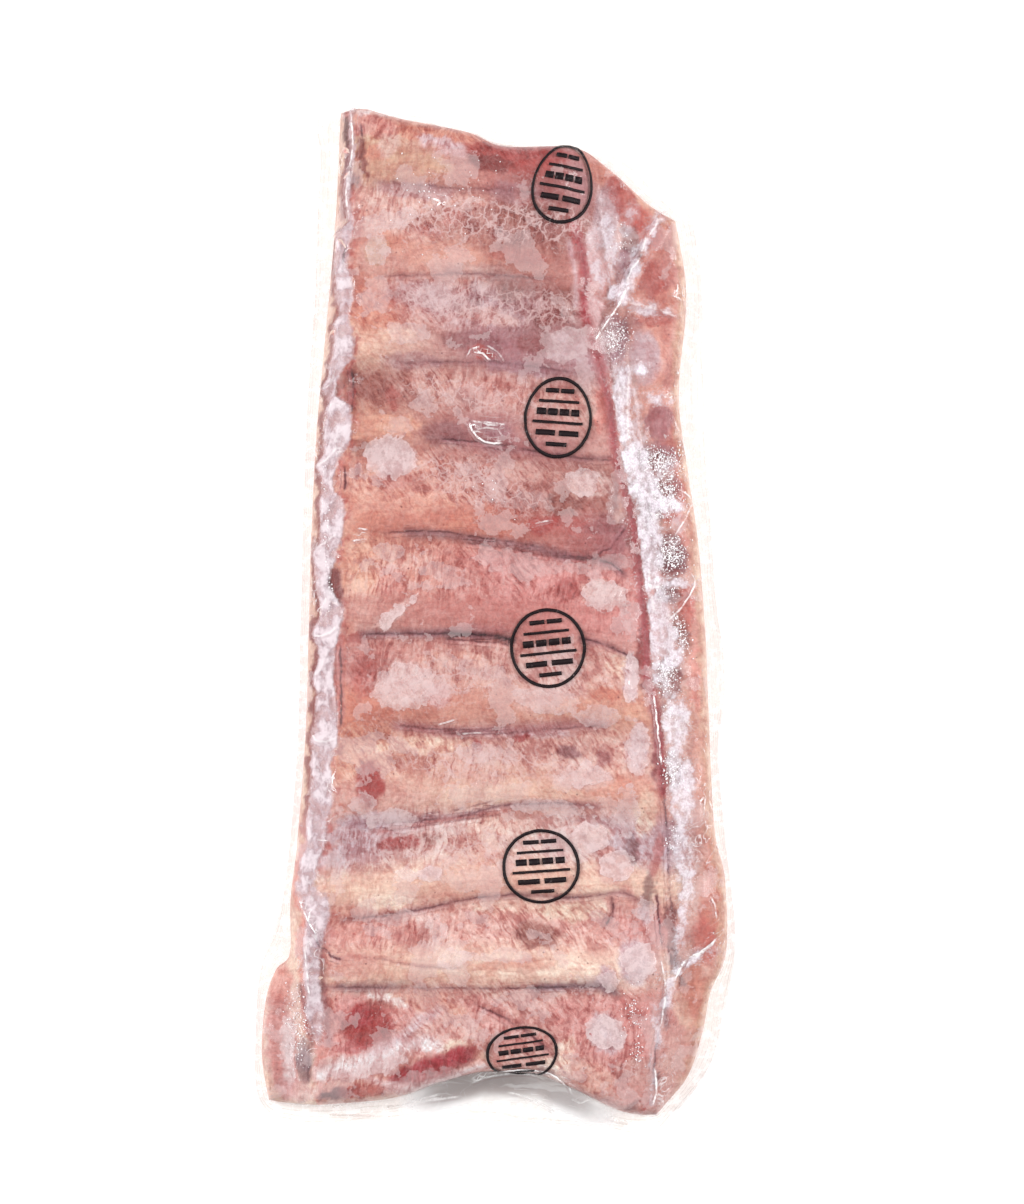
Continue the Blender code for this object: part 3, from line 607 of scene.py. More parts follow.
seams = [  # crisp dark lines: strength, points
    (0.35, [(-42, 153.5), (-20, 151.5), (0, 150.5), (20, 148.5)]), (0.3, [(-40, 120), (-10, 121), (20, 119)]),
    (0.3, [(-34, 90), (0, 90), (30, 86)]), (0.7, [(-20, 63.4), (-4, 62), (8, 60.6)]),
    (0.5, [(8, 60), (22, 58), (34, 56), (42, 56)]),
    (0.6, [(-40, 30.4), (-20, 31), (-6, 29), (8, 27), (20, 24.5)]), (0.5, [(-12, 27.5), (4, 25), (18, 22.6), (36, 21)]),
    (0.7, [(22, 22.8), (34, 21.6), (42, 19), (45, 15)]),
    (0.6, [(-46, -5), (-30, -4.6), (-15, -4.8)]), (1.0, [(-20, -4.6), (-10, -5), (0, -5.6), (8, -7.6)]),
    (0.7, [(-18, -6.6), (-6, -7.4), (6, -8.6)]), (0.8, [(28, -6), (38, -8.4), (48, -13)]),
    (0.5, [(-34, -36.6), (-14, -38.4), (6, -37.4)]), (0.45, [(-20, -39.6), (0, -39.8), (20, -38.2), (38, -37)]),
    (0.5, [(-50, -71.4), (-30, -70.4), (-12, -68.6), (2, -65), (20, -64), (36, -65)]),
    (0.4, [(-26, -68), (-12, -66), (0, -63)]), (0.35, [(-40, -74), (-18, -71), (4, -67.6)]),
    (0.55, [(-53, -105), (-30, -102), (-8, -97.4), (8, -96), (28, -97), (44, -95), (53, -99)]),
    (1.1, [(40.8, -96.5), (41.2, -101), (40.4, -105), (38.6, -107)]),
    (0.25, [(-51, -117), (-40, -118.4), (-25, -121), (-10, -121.4)]), (0.4, [(-60, -128), (-30, -128.6), (2, -129)]),
    (0.65, [(2, -129), (20, -128.4), (38, -128)]), (0.7, [(-10, -133), (8, -142), (20, -152), (26, -162)]),
    # along the seam beyond the ribs' ends
    (0.12, seamCut[:8]),
    (0.15, seamCut[7:15]),
    (0.3, seamCut[14:]),
    (0.7, [(58.4, -56), (59.5, -66.9), (60.2, -74.9), (60.8, -91), (62, -104)]),
    (0.9, [(56.4, -95), (57.4, -106), (58.4, -114)]), (0.8, [(60, -112), (61.8, -121), (60, -132), (57, -146), (55, -160)]),
    # slits beside the sawn strip, and the pad's crease
    (1.0, [(-49.8, 88), (-49.4, 80), (-50.2, 72)]), (1.1, [(-52.6, 54), (-52, 49), (-52.6, 45)]),
    (0.9, [(-47, 174), (-46, 166), (-47.4, 158), (-48, 150)]), (1.0, [(-51.4, 132), (-52.8, 127), (-53.4, 121)]),
    (1.3, [(-58.4, 17), (-57.6, 9), (-54.6, 5)]), (0.8, [(-54, -8), (-53.6, -30), (-53.8, -38)]),
    (0.4, [(-68.6, -126), (-66, -140), (-65, -152), (-65.6, -164)]), (0.9, [(-60, -114), (-57, -117.4), (-53, -118.6)]),
    (0.9, [(-66, -104), (-62.6, -110.6), (-60, -116)]),
    (0.6, [(46, 33), (40, 25), (34, 22.6)]), (0.8, [(52, 129), (47, 122), (45, 116)]),
]
rimeAndHighlights = [  # smooth white frost, and two painted highlights on film folds among its ovals: x, y, half length, half width, turn, strength
    # the first oval is a painted highlight: the white triangle where the film fold at the top right faces the light
    (44, 115, 4.4, 3.6, 40, 1.0), (48, 122, 2.2, 5, -24, 0.7), (52, 131, 2.2, 6, -24, 0.75), (56, 139, 2, 5, -30, 0.7),
    (40, 134, 3.4, 12, 6, 0.6), (47, 140, 2.4, 8, -20, 0.45), (37, 122, 3.4, 6, 20, 0.5), (53, 109.4, 9, 1.7, -8, 0.7),
    (51, 87.5, 1.9, 1.9, 0, 0.95), (44.6, 80, 3.6, 9, -6, 0.85), (45, 68, 3.4, 9, 6, 0.9), (57, 78, 5, 1.7, -14, 0.8),
    (49.6, 55, 5, 10, 14, 0.9), (52, 46, 6.6, 6, 0, 0.95), (58, 40.4, 7.4, 3.6, 0, 1.0), (53.4, 32, 5.6, 10, 8, 0.85),
    (54, 20, 4.4, 8, 0, 0.8), (60, 52, 4, 3, 20, 0.5), (64, 32, 2, 7, -20, 0.4), (55, 13.4, 5, 3, 0, 1.0), (63, 13, 6, 1.9, 4, 0.9), (57.4, 4, 5, 8, 0, 0.75),
    (58.4, -6, 5.6, 9, -4, 0.75), (62, -14, 2.6, 6, -36, 0.9), (60, -22, 1.4, 7, 0, 0.5), (63, -36, 5.4, 9, 0, 0.85),
    (62.6, -48, 3, 6, 0, 0.7), (66, -60, 4.6, 12, 0, 0.8), (64.6, -78, 2.6, 11, 0, 0.75), (67, -94, 2.6, 12, -6, 0.8),
    # the second and third ovals here are a painted highlight: the white wedge on the film fold at the lower right
    (65, -108, 2.2, 8, -10, 0.7), (67.6, -120, 7.4, 1.7, 26, 1.0), (63, -123.4, 3, 1.6, 10, 0.9),
    (52.6, 30, 2.4, 9, 5, 0.95), (53.6, 16, 2.4, 9, 5, 0.95), (55.4, 0, 2.4, 9, 3, 0.9), (56.4, -14, 2, 7, 0, 0.8),
    (60.2, -40, 2, 9, 3, 0.5), (47.2, 52, 2.8, 9, 14, 0.95), (44, 74, 2.8, 9, 6, 0.8), (34.4, 131, 3, 8, -6, 0.4),
    (60.6, -130, 1.9, 9, -12, 0.7), (57, -146, 1.6, 9, 8, 0.6), (55, -161, 1.4, 7, 0, 0.6), (50, 72, 1.6, 14, 8, 0.5),
]
glitter = [  # where loose crystals lie: x, y, half length, half width, turn, share of the crystals
    (43, 99, 5, 8.4, 0, 1.3), (57, 56, 8.6, 5.6, 0, 1.7), (60, 45, 6.5, 10, 10, 1.3), (62, 23, 6, 7.6, 0, 1.9),
    (56, 36, 5, 4, 0, 0.4), (60.4, 9, 5, 3, 0, 0.7), (65, -4, 3.2, 9, 14, 1.2), (60.6, -20, 5, 7, 0, 1.4),
    (61, -32, 3, 4, 0, 0.4), (62, -52, 4.4, 7, 0, 1.2), (62, -76, 2.6, 6, 0, 0.5), (49, -137, 6, 9, 0, 0.3),
    (50, -152, 4, 6, 0, 0.3), (-59, 30, 2, 40, 3, 0.25), (-69, -142, 5, 16, 0, 0.5), (45, 132, 5, 8, 0, 0.2),
    (66, 60, 2.4, 12, 0, 0.4), (-4, 44, 12, 8, 0, 0.03), (-20, 150, 30, 16, 0, 0.025),
]
darkUnderCrystals = [  # darker places painted where the loose crystals lie: x, y, half length, half width, turn, colour, strength
    (42, 99, 5.4, 9, 0, "violet", 0.8), (48, 104, 4, 4, 0, "plum", 0.5), (57, 57, 9, 6, 0, "violet", 0.65),
    (60, 47, 6, 5, 0, "plum", 0.6), (62, 23, 6.4, 8, 0, "plum", 0.9), (60.4, 9, 5, 3.4, 0, "plum", 0.8),
    (55, 38, 4, 3, 0, "plum", 0.6), (60.4, -21, 5.6, 8, 0, "plum", 0.7), (65.4, -4, 3, 9, 14, "brown", 0.7),
    (62, -53, 4.6, 8, 0, "grey", 0.7), (62, -76, 2.8, 7, 0, "violet", 0.6), (62.6, -117, 2, 4, 0, "wine", 0.8),
    (65.4, -127, 1.4, 3, 30, "wine", 0.7), (59.6, -138, 1.2, 6, 0, "slate", 0.6), (57, -161, 1.3, 3, 0, "wine", 0.7),
]
plates = [  # crisp lilac gristle near the ribs' ends: x, y, half length, half width, turn, colour, strength
    (52.4, 93, 5.8, 10, 4, "lilac", 0.85), (57.6, 69.5, 5, 7.6, 0, "purple", 0.75), (52.2, -102.6, 3.3, 4, 0, "shellLilac", 0.9),
    (48.8, -119.6, 6.6, 9, 8, "shellLilac", 0.95), (37.8, -124.6, 2.8, 5, 0, "shellLilac", 0.9),
    (38.8, -144.8, 6.4, 8.4, 26, "shellLilac", 0.95), (33, -76, 7, 5, 0, "skin", 0.6), (42, -87, 6, 5, 0, "skin", 0.7),
    (47.4, -20, 2.6, 9, 0, "shellLilac", 0.7), (50, -45, 3.4, 8, -6, "shellLilac", 0.6), (35, 47, 7, 5, 14, "web", 0.6),
    (39, 9, 8, 4.4, -8, "web", 0.7), (-36, 57, 8.6, 7, 0, "shellLilac", 0.6), (-35, 2.4, 8.4, 1.9, 40, "web", 0.8),
    (-31, -23, 10, 7, 12, "web", 0.6), (-41.4, 129, 4, 5, 0, "tan", 0.7), (-15, -118, 6, 3.2, 0, "bone", 0.6),
    (-31, -88.4, 4.4, 2.2, 0, "bone", 0.8), (-22.4, -88, 3.8, 3, 0, "web", 0.8), (-72.8, -155, 2.6, 10, 0, "white", 0.7),
    (-25, -148, 8, 2.4, -6, "white", 0.7), (-50, -156, 12, 4, 10, "milk", 0.85), (29.6, -122.6, 6.8, 3.6, 4, "bone", 0.95),
    (-45, -141, 10, 8, 20, "blood", 0.95), (-47, -139, 5, 4, 30, "cherry", 0.6), 
    (-19, 167.4, 10, 1.8, -14, "shellLilac", 0.8),
    (-1, 159.4, 9, 3, -8, "deepRed", 0.85), (48, 133, 3.6, 7, 20, "wine", 0.5), (44, 124, 3, 6, 0, "violet", 0.6),
    (-14, -152.6, 8, 3.4, 20, "cherry", 0.85), (-55.6, -165.2, 5.6, 1.8, 6, "wine", 0.85), (-38, -132.6, 8, 2, -14, "white", 0.55),
    (-46, -128.4, 12, 1.3, 2, "slate", 0.25), (-67, -156, 2.6, 7, 0, "slate", 0.6), (-28, -163.4, 10, 1.6, 12, "milk", 0.8),
    (-10, -158.6, 9, 1.0, 14, "lobe", 0.7), (-34, -168, 9, 1.2, 6, "tan", 0.8), (18, -157.6, 3, 3, 0, "slate", 0.6),
    (23, -152, 3.6, 8, -42, "bone", 0.7), (48, -170, 3, 1.3, 40, "wine", 0.5), (34, 131, 3, 8, -6, "shell", 0.85), (34.6, 107, 3, 7, 0, "shell", 0.8), (52, -172, 5, 1.2, 48, "lobe", 0.7),
    (-46, 177.4, 3.4, 1.0, 0, "milk", 0.8), (-42, 179, 5, 1.5, -8, "blood", 0.6), (-52, 177.6, 2, 2, 0, "pink", 0.7),
    (-50, -149.4, 7, 2.4, 0, "cherry", 0.4), (-45, -164.6, 11, 3, 4, "blood", 0.6), (-61, -158, 4, 6, 0, "rosy", 0.6),
    (76, -100, 3, 9, 0, "orange", 0.5), (66, -138, 3, 8, 20, "cream", 0.6), (62, -112, 1.6, 5, 0, "wine", 0.5),
    (36, -101.6, 4, 3.6, 0, "bone", 0.6), (14, -28, 9, 5, -12, "web", 0.5), (34, -56, 8, 4, 8, "web", 0.6),
]
print("palette ready")


def turnTo(x, y, place):  # places as seen from a turned oval
    turned = math.radians(place[4])
    offX, offY = x - place[0], y - place[1]
    return offX * math.cos(turned) + offY * math.sin(turned), offY * math.cos(turned) - offX * math.sin(turned)


def strokeOf(x, y, place):  # 1 inside a turned oval, falling to 0 at its edge
    lengthwise, aside = turnTo(x, y, place)
    return 1 - ease(0.7, 1.1, np.hypot(lengthwise / place[2], aside / place[3]))


def nearestOval(x, y, places):  # how far inside the nearest oval, in millimetres, and that oval's strength
    inside, shown = np.full(len(x), -9.0), np.zeros(len(x))
    for *place, strength in places:
        lengthwise, aside = turnTo(x, y, place)
        far = (1 - np.hypot(lengthwise / place[2], aside / place[3])) * min(place[2:4])
        closer = far > inside
        inside[closer], shown[closer] = far[closer], strength
    return inside, shown


def stripAt(y):  # the frosted strip's outer and inner edges
    ys, outer, inner = np.array(stripEdges[::-1], float).T
    return np.interp(y, ys, outer), np.interp(y, ys, inner)


def bandColours(x, y):
    across = np.clip((x + 46) / 90, 0, 1)[:, None]
    names = np.array([[[linear(palette[name]) for name in row] for row in pair] for pair in bands])
    low, high = np.clip(1 - 2 * across, 0, 1), np.clip(2 * across - 1, 0, 1)
    weights = np.zeros((len(x), 1))
    total = np.zeros((len(x), 3))
    for index, (rib, pair) in enumerate(zip(ribs, names)):
        following = ribs[index + 1] if index + 1 < len(ribs) else (-150, -150, -150, 40)
        middle = ribY(rib, x)
        for level, row, width in ((middle, pair[0], 8.5), ((middle + ribY(following, x)) / 2, pair[1], 9.5)):
            near = np.exp(-(((y - level) / width) ** 4))[:, None] + 1e-6
            colour = low * row[0] + (1 - low - high) * row[1] + high * row[2]
            total += near * colour
            weights += near
    return total / weights


def paint(x, y, swayX, swayY):
    trueX, trueY = x, y
    x, y = x + swayX, y + swayY
    colours = bandColours(x, y)

    def over(name, share):
        nonlocal colours
        share = np.clip(share, 0, 1)[:, None]
        colours = colours * (1 - share) + np.array(linear(palette[name])) * share

    sawn, seam = xAt(sawnLine, y), xAt(seamLine, y)
    fine = wander(x, y, 5, 3.0)
    over("skin", 0.7 * ease(2, 10, x - seam))
    over("meat", 0.8 * ease(8, 13, x - seam) * ease(40, 70, y))
    over("peach", 0.55 * ease(8, 13, x - seam))
    flapEdge = along(rightSide, np.linspace(0, 1, 200))
    inwards = np.interp(y, flapEdge[:, 1], flapEdge[:, 0]) - x
    outer, inner = stripAt(y)
    over("orange", 0.5 * ease(1, 0, np.abs(x - inner - 2) / 6) * ease(-0.1, 0.3, fine))
    over("red", 0.75 * ease(1, 0, np.abs(x - inner - 1) / 2.6) * ease(-0.2, 0.2, fine + 0.2 * wander(x, y, 3, 6.0)))
    over("lilac", 0.85 * ease(0.5, -0.5, x - inner) * ease(-1, 0.5, x - outer))
    outside = ease(0.6, -0.4, x - outer)
    high = ease(-90, -60, y)
    over("deepRed", 0.8 * outside * high)
    over("meat", 0.8 * outside * (1 - high))
    over("fat", 0.9 * ease(-1.4, -2.6, x - outer + 0.8 * fine))
    for *place, name, strength in dabs + darkUnderCrystals + plates:
        over(name, strength * strokeOf(x, y, place))
    over("tan", 0.7 * ease(4.5, 2.5, inwards + 1.4 * fine) * ease(-175, -150, y))
    over("fat", 0.9 * ease(2.6, 0.6, inwards + fine) * ease(-175, -150, y))
    for name, strength, width, points in veins:
        far = toLine(trueX + 0.25 * swayX, trueY + 0.25 * swayY, points)
        over(name, strength * np.exp(-((far / width) ** 2)))
    return colours


# ---- the meat

meat = {
    "columns": 214, "rows": 430,
    "bottom": 0.9,
    "wallRings": [(0.0, 3.0), (0.3, 1.7), (1.4, 0.9), (5.0, 0.9)],  # inward, height
    "fibreRelief": 0.22, "lumpRelief": 0.45, "veinRelief": 0.5, "sawnRelief": 0.9,
    "roughness": 0.38,
    "depth": 1.3,  # above 1 deepens the colours
    "shade": (0.765, 0.745, 0.73),
}


def rimOf(work):  # the open edge's points, in order
    edge = next(found for found in work.edges if found.is_boundary)
    first, here = edge.verts
    loop = [first]
    while here != first:
        loop.append(here)
        edge = next(other for other in here.link_edges if other.is_boundary and other != edge)
        here = edge.other_vert(here)
    return loop


def rackGrid(columns, rows):  # the rack's top as a grid: the work, x, y, distance from the side
    work = bmesh.new()
    bmesh.ops.create_grid(work, x_segments=columns, y_segments=rows, size=0.5)
    station = work.verts.layers.int.new("station")
    work.verts.layers.float.new("reach")
    work.verts.index_update()
    rim = rimOf(work)
    for index, vert in enumerate(rim):
        vert[station] = index
    flat = np.array([vert.co[:2] for vert in work.verts]) + 0.5
    across, up, toSide = stations(flat[:, 0], flat[:, 1])
    places = inPlan(across, up)
    order = [vert.index for vert in rim]
    return work, station, (across[order], up[order]), places[:, 0], places[:, 1], toSide


def drawRim(work):  # one more ring of faces from the open edge: its new points
    edges = [edge for edge in work.edges if edge.is_boundary]
    made = bmesh.ops.extrude_edge_only(work, edges=edges)["geom"]
    return [item for item in made if isinstance(item, bmesh.types.BMVert)]


def meatRelief(x, y):
    over = overRibs(x, y)
    gaps = ease(rack["ribWidth"] * 0.2, rack["ribWidth"] * 0.8, toNearestRib(x, y))
    slanted = wander(x * 0.8 + y * 0.5, (y - x * 0.6) * 0.2, 1.5, 8.0)
    relief = meat["fibreRelief"] * slanted * (0.25 + 0.75 * gaps * over)
    relief += meat["lumpRelief"] * wander(x, y, 7, 21.0, 4)
    at, shown = nearestLine(x, y, seams, 2.5)
    relief -= meat["veinRelief"] * shown * np.exp(-((at / 0.9) ** 2))
    beyond = ease(0, -3, x - xAt(sawnLine, y))
    return relief + meat["sawnRelief"] * beyond * wander(x, y * 0.6, 5, 31.0, 3)


def makeMeatMesh():
    work, station, rimShares, x, y, toSide = rackGrid(meat["columns"], meat["rows"])
    z = rounded(rackHeight(x, y) + meatRelief(x, y) * ease(0, 6, toSide), toSide, rack["foot"])
    for vert, place in zip(work.verts, zip(x, y, z)):
        vert.co = place
    for inward, height in meat["wallRings"]:
        plan = insetPlan(*rimShares, inward)
        for vert in drawRim(work):
            vert.co = (*plan[vert[station]], height)
    bmesh.ops.holes_fill(work, edges=[edge for edge in work.edges if edge.is_boundary], sides=0)
    return work


def makeMeatMaterial():
    made, tree = newMaterial("packedMeat")
    place = inMillimetres(tree)
    tint = field(tree, "tint").outputs["Color"]
    fibre = field(tree, "fibre").outputs["Fac"]
    webbing = field(tree, "webbing").outputs["Fac"]
    side = field(tree, "side").outputs["Fac"]
    # layers of fat and lean on the sides and beneath
    layers = node(tree, "ShaderNodeTexNoise", {"noise_dimensions": "3D"},
                  Vector=node(tree, "ShaderNodeMapping", i0=place, i3=(0.05, 0.05, 0.35)).outputs[0],
                  Scale=1.0, Detail=5.0, Distortion=0.4).outputs["Fac"]
    cut = node(tree, "ShaderNodeValToRGB", Fac=layers)
    for index, (stop, name) in enumerate(((0.3, "red"), (0.45, "meat"), (0.52, "fat"), (0.62, "peach"),
                                          (0.75, "lobe"))):
        element = cut.color_ramp.elements[index] if index < 2 else cut.color_ramp.elements.new(stop)
        element.position = stop
        element.color = (*linear(palette[name]), 1)
    colour = blend(tree, side, tint, cut.outputs["Color"])
    # lean fibres, running two ways
    steep = use(tree, streaks, Place=place, Turn=math.radians(-82), Length=6.0, Width=1.1, Bend=0.2).outputs[0]
    slanted = use(tree, streaks, Place=place, Turn=math.radians(-125), Length=5.0, Width=1.1, Bend=0.3).outputs[0]
    level = use(tree, streaks, Place=place, Turn=0.0, Length=26.0, Width=1.6, Bend=0.2).outputs[0]
    lean = node(tree, "ShaderNodeTexNoise", Vector=place, Scale=0.03, Detail=1.0).outputs["Fac"]
    grain = node(tree, "ShaderNodeMix", i0=ramp(tree, lean, 0.42, 0.58), i2=steep, i3=slanted).outputs[0]
    # pale and deep clouds with crisp edges, at two sizes
    broad = use(tree, clouds, Place=place, Scale=0.11, Grain=grain, Pull=0.35).outputs[0]
    small = use(tree, clouds, Place=place, Scale=0.34, Grain=grain, Pull=0.5).outputs[0]
    gap = field(tree, "gap").outputs["Fac"]
    deepen, lighten = (0.8, 0.62, 0.62, 1), (1.1, 1.24, 1.26, 1)
    for value, low, high, share, tone in ((broad, 0.51, 0.59, 0.9, deepen), (small, 0.54, 0.62, 0.8, deepen),
                                          (broad, 0.47, 0.445, 0.8, lighten), (small, 0.45, 0.42, 0.8, lighten)):
        strength = maths(tree, "MULTIPLY", gap, share)
        colour = blend(tree, maths(tree, "MULTIPLY", ramp(tree, value, low, high), strength), colour, tone, "MULTIPLY")
    onRib = maths(tree, "MULTIPLY", maths(tree, "SUBTRACT", 1.0, gap), 0.55)
    colour = blend(tree, maths(tree, "MULTIPLY", ramp(tree, level, 0.53, 0.62), onRib), colour, deepen, "MULTIPLY")
    colour = blend(tree, maths(tree, "MULTIPLY", ramp(tree, level, 0.46, 0.4), onRib), colour, lighten, "MULTIPLY")
    darkStreak = maths(tree, "MULTIPLY", ramp(tree, grain, 0.52, 0.66), fibre)
    colour = blend(tree, darkStreak, colour, (0.72, 0.5, 0.5, 1), "MULTIPLY")
    paleStreak = maths(tree, "MULTIPLY", ramp(tree, grain, 0.45, 0.36), fibre)
    colour = blend(tree, maths(tree, "MULTIPLY", paleStreak, 0.5), colour, (*linear(palette["web"]), 1))
    mottle = node(tree, "ShaderNodeTexNoise", Vector=place, Scale=0.16, Detail=6.0, Roughness=0.65,
                  Distortion=0.6).outputs["Fac"]
    pores = node(tree, "ShaderNodeTexNoise", Vector=place, Scale=0.9, Detail=4.0, Roughness=0.7).outputs["Fac"]
    colour = blend(tree, 1.0, colour, node(tree, "ShaderNodeMapRange", i0=pores, i1=0.25, i2=0.75, i3=0.82,
                                           i4=1.18).outputs[0], "MULTIPLY")
    # pale connective strands
    strands = use(tree, web, Place=place, Cell=0.17, Strand=0.11).outputs[0]
    finer = use(tree, web, Place=place, Cell=0.42, Strand=0.1).outputs[0]
    both = maths(tree, "MAXIMUM", strands, maths(tree, "MULTIPLY", finer, 0.5))
    colour = blend(tree, maths(tree, "MULTIPLY", both, webbing), colour, (*linear(palette["milk"]), 1))
    # dark lines where muscles and ribs meet
    wobble = node(tree, "ShaderNodeTexNoise", Vector=place, Scale=0.35, Detail=4.0, Roughness=0.6).outputs["Fac"]
    across = maths(tree, "ADD", field(tree, "seamAt").outputs["Fac"],
                   maths(tree, "MULTIPLY", maths(tree, "SUBTRACT", wobble, 0.5), 1.6))
    seam = field(tree, "seam").outputs["Fac"]
    broken = node(tree, "ShaderNodeTexNoise", Vector=place, Scale=0.12, Detail=4.0, Roughness=0.7).outputs["Fac"]
    for offset, width, share, tone in ((0.0, 1.7, 0.55, (0.72, 0.58, 0.66, 1)), (0.9, 0.55, 0.5, (1.2, 1.4, 1.5, 1)),
                                       (1.7, 0.4, 0.6, (0.5, 0.36, 0.42, 1)), (0.0, 0.55, 1.0, (0.4, 0.27, 0.33, 1))):
        off = maths(tree, "ABSOLUTE", maths(tree, "SUBTRACT", across, offset))
        line = maths(tree, "MULTIPLY", ramp(tree, off, width, width * 0.25), maths(tree, "MULTIPLY", seam, share))
        line = node(tree, "ShaderNodeMath", {"operation": "MULTIPLY", "use_clamp": True}, i0=line,
                    i1=maths(tree, "MULTIPLY_ADD", ramp(tree, broken, 0.38, 0.55), 0.9, 0.25)).outputs[0]
        colour = blend(tree, line, colour, tone, "MULTIPLY")
    # small dark flecks
    flecks = node(tree, "ShaderNodeTexVoronoi", {"feature": "F1"}, Vector=place, Scale=0.35)
    fleck = maths(tree, "MULTIPLY", ramp(tree, flecks.outputs["Distance"], 0.16, 0.05),
                  ramp(tree, mottle, 0.5, 0.6))
    colour = blend(tree, maths(tree, "MULTIPLY", fleck, 0.6), colour, (*linear(palette["wine"]), 1))
    colour = node(tree, "ShaderNodeGamma", Color=colour, Gamma=meat["depth"]).outputs[0]
    colour = blend(tree, 1.0, colour, (*meat["shade"], 1), "MULTIPLY")
    height = maths(tree, "ADD", maths(tree, "MULTIPLY", grain, 0.5), maths(tree, "MULTIPLY", pores, 0.3))
    bump = node(tree, "ShaderNodeBump", Strength=0.6, Distance=0.0004, Height=height)
    shader = node(tree, "ShaderNodeBsdfPrincipled", Base_Color=colour, Normal=bump.outputs[0],
                  Specular_IOR_Level=0.3, Roughness=node(tree, "ShaderNodeMapRange", i0=mottle, i1=0.3, i2=0.7, i3=meat["roughness"] + 0.14,
                                 i4=meat["roughness"] - 0.1).outputs[0])
    node(tree, "ShaderNodeOutputMaterial", Surface=shader.outputs[0])
    return made


def makeMeat():
    work = makeMeatMesh()
    for vert in work.verts:
        vert.co *= mm
    piece = addPiece("packed_ribs", work, makeMeatMaterial(), ["meat_slab"])
    x, y, z = (verticesOf(piece.data) / mm).T
    swayX, swayY = 1.6 * wander(x, y, 4, 5.0, 5), 1.6 * wander(x, y, 4, 9.0, 5)
    addColours(piece.data, "tint", paint(x, y, swayX, swayY))
    at, shown = nearestLine(x + 0.15 * swayX, y + 0.15 * swayY, seams, 2.5)
    addField(piece.data, "seamAt", at)
    addField(piece.data, "seam", shown)
    gaps = ease(rack["ribWidth"] * 0.25, rack["ribWidth"] * 0.8, toNearestRib(x + swayX, y + swayY))
    over = overRibs(x, y)
    fibrous = np.max([share * strokeOf(x + swayX, y + swayY, place) for *place, share in fibrePatches], axis=0)
    addField(piece.data, "fibre", 0.04 + over * 0.14 * gaps + 0.6 * fibrous)
    addField(piece.data, "gap", 0.4 + 0.6 * over * gaps)
    webby = strokeOf(x + 2 * swayX, y + 2 * swayY, (0, 140, 44, 8, -3)) * 1.0
    for place in ((0, 110, 38, 8, -4), (-6, 78, 30, 6, -8), (-4, 46, 30, 8, -20), (-20, -22, 26, 9, 0),
                  (-10, -50, 26, 6, 0), (-8, -80, 24, 7, 0), (8, -52, 20, 6, 0)):
        webby = np.maximum(webby, 0.75 * strokeOf(x + 2 * swayX, y + 2 * swayY, place))
    addField(piece.data, "webbing", 0.12 + 0.6 * webby * (0.4 + 0.6 * gaps))
    low = np.maximum(ease(9.5, 5.0, z), 0)
    addField(piece.data, "side", low)
    print("meat ready,", len(piece.data.polygons), "faces")
    return piece


meatPiece = makeMeat()

# ---- the ten bones, which show where they are sawn

bone = {"sides": 20, "steps": 26, "widens": 0.3, "thins": 0.14, "blunt": 0.72, "cover": 0.5, "sawnProud": 0.5,
        "padSetback": 4.0}


def surfaceAt(x, y, toSide):  # the meat's height at one place
    return rounded(rackHeight(np.array([x]), np.array([y])), np.array([toSide]), rack["foot"])[0]


def sawnProfile(y):  # the slanting sawn face at one place along it: heights, and x at each
    side = along(leftSide, np.linspace(0, 1, 200))
    edge = np.interp(y, side[:, 1], side[:, 0])
    inner = xAt(sawnLine, y)
    if y < rack["padTop"]:
        inner = max(inner, xAt(padLine, y) + bone["padSetback"])
    places = np.linspace(edge, inner, 120)
    heights = rounded(rackHeight(places, np.full(len(places), y)), places - edge, rack["foot"])
    return np.maximum.accumulate(heights), places


def ribLevel(x, y):
    level = crown(max(x, xAt(sawnLine, y) + 1), y)
    return level + rack["ribProud"] - bone["cover"] - rack["ribThickness"] / 2


def makeBoneMaterial():
    made, tree = newMaterial("sawnBone")
    place = inMillimetres(tree)
    sawnEnd = field(tree, "sawnEnd").outputs["Fac"]
    marrow = field(tree, "marrow").outputs["Fac"]
    cells = node(tree, "ShaderNodeTexVoronoi", Vector=place, Scale=1.3).outputs["Distance"]
    rim = node(tree, "ShaderNodeTexNoise", Vector=place, Scale=0.5, Detail=4.0).outputs["Fac"]
    hard = blend(tree, ramp(tree, rim, 0.35, 0.65), (*linear((236, 214, 196)), 1), (*linear((222, 180, 170)), 1))
    spongy = blend(tree, ramp(tree, cells, 0.2, 0.55), (*linear((112, 44, 42)), 1), (*linear((206, 128, 116)), 1))
    colour = blend(tree, maths(tree, "MULTIPLY", sawnEnd, marrow), hard, spongy)
    bump = node(tree, "ShaderNodeBump", Strength=0.5, Distance=0.0003, Height=cells)
    shader = node(tree, "ShaderNodeBsdfPrincipled", Base_Color=colour, Normal=bump.outputs[0],
                  Roughness=node(tree, "ShaderNodeMapRange", i0=rim, i3=0.35, i4=0.6).outputs[0])
    node(tree, "ShaderNodeOutputMaterial", Surface=shader.outputs[0])
    return made


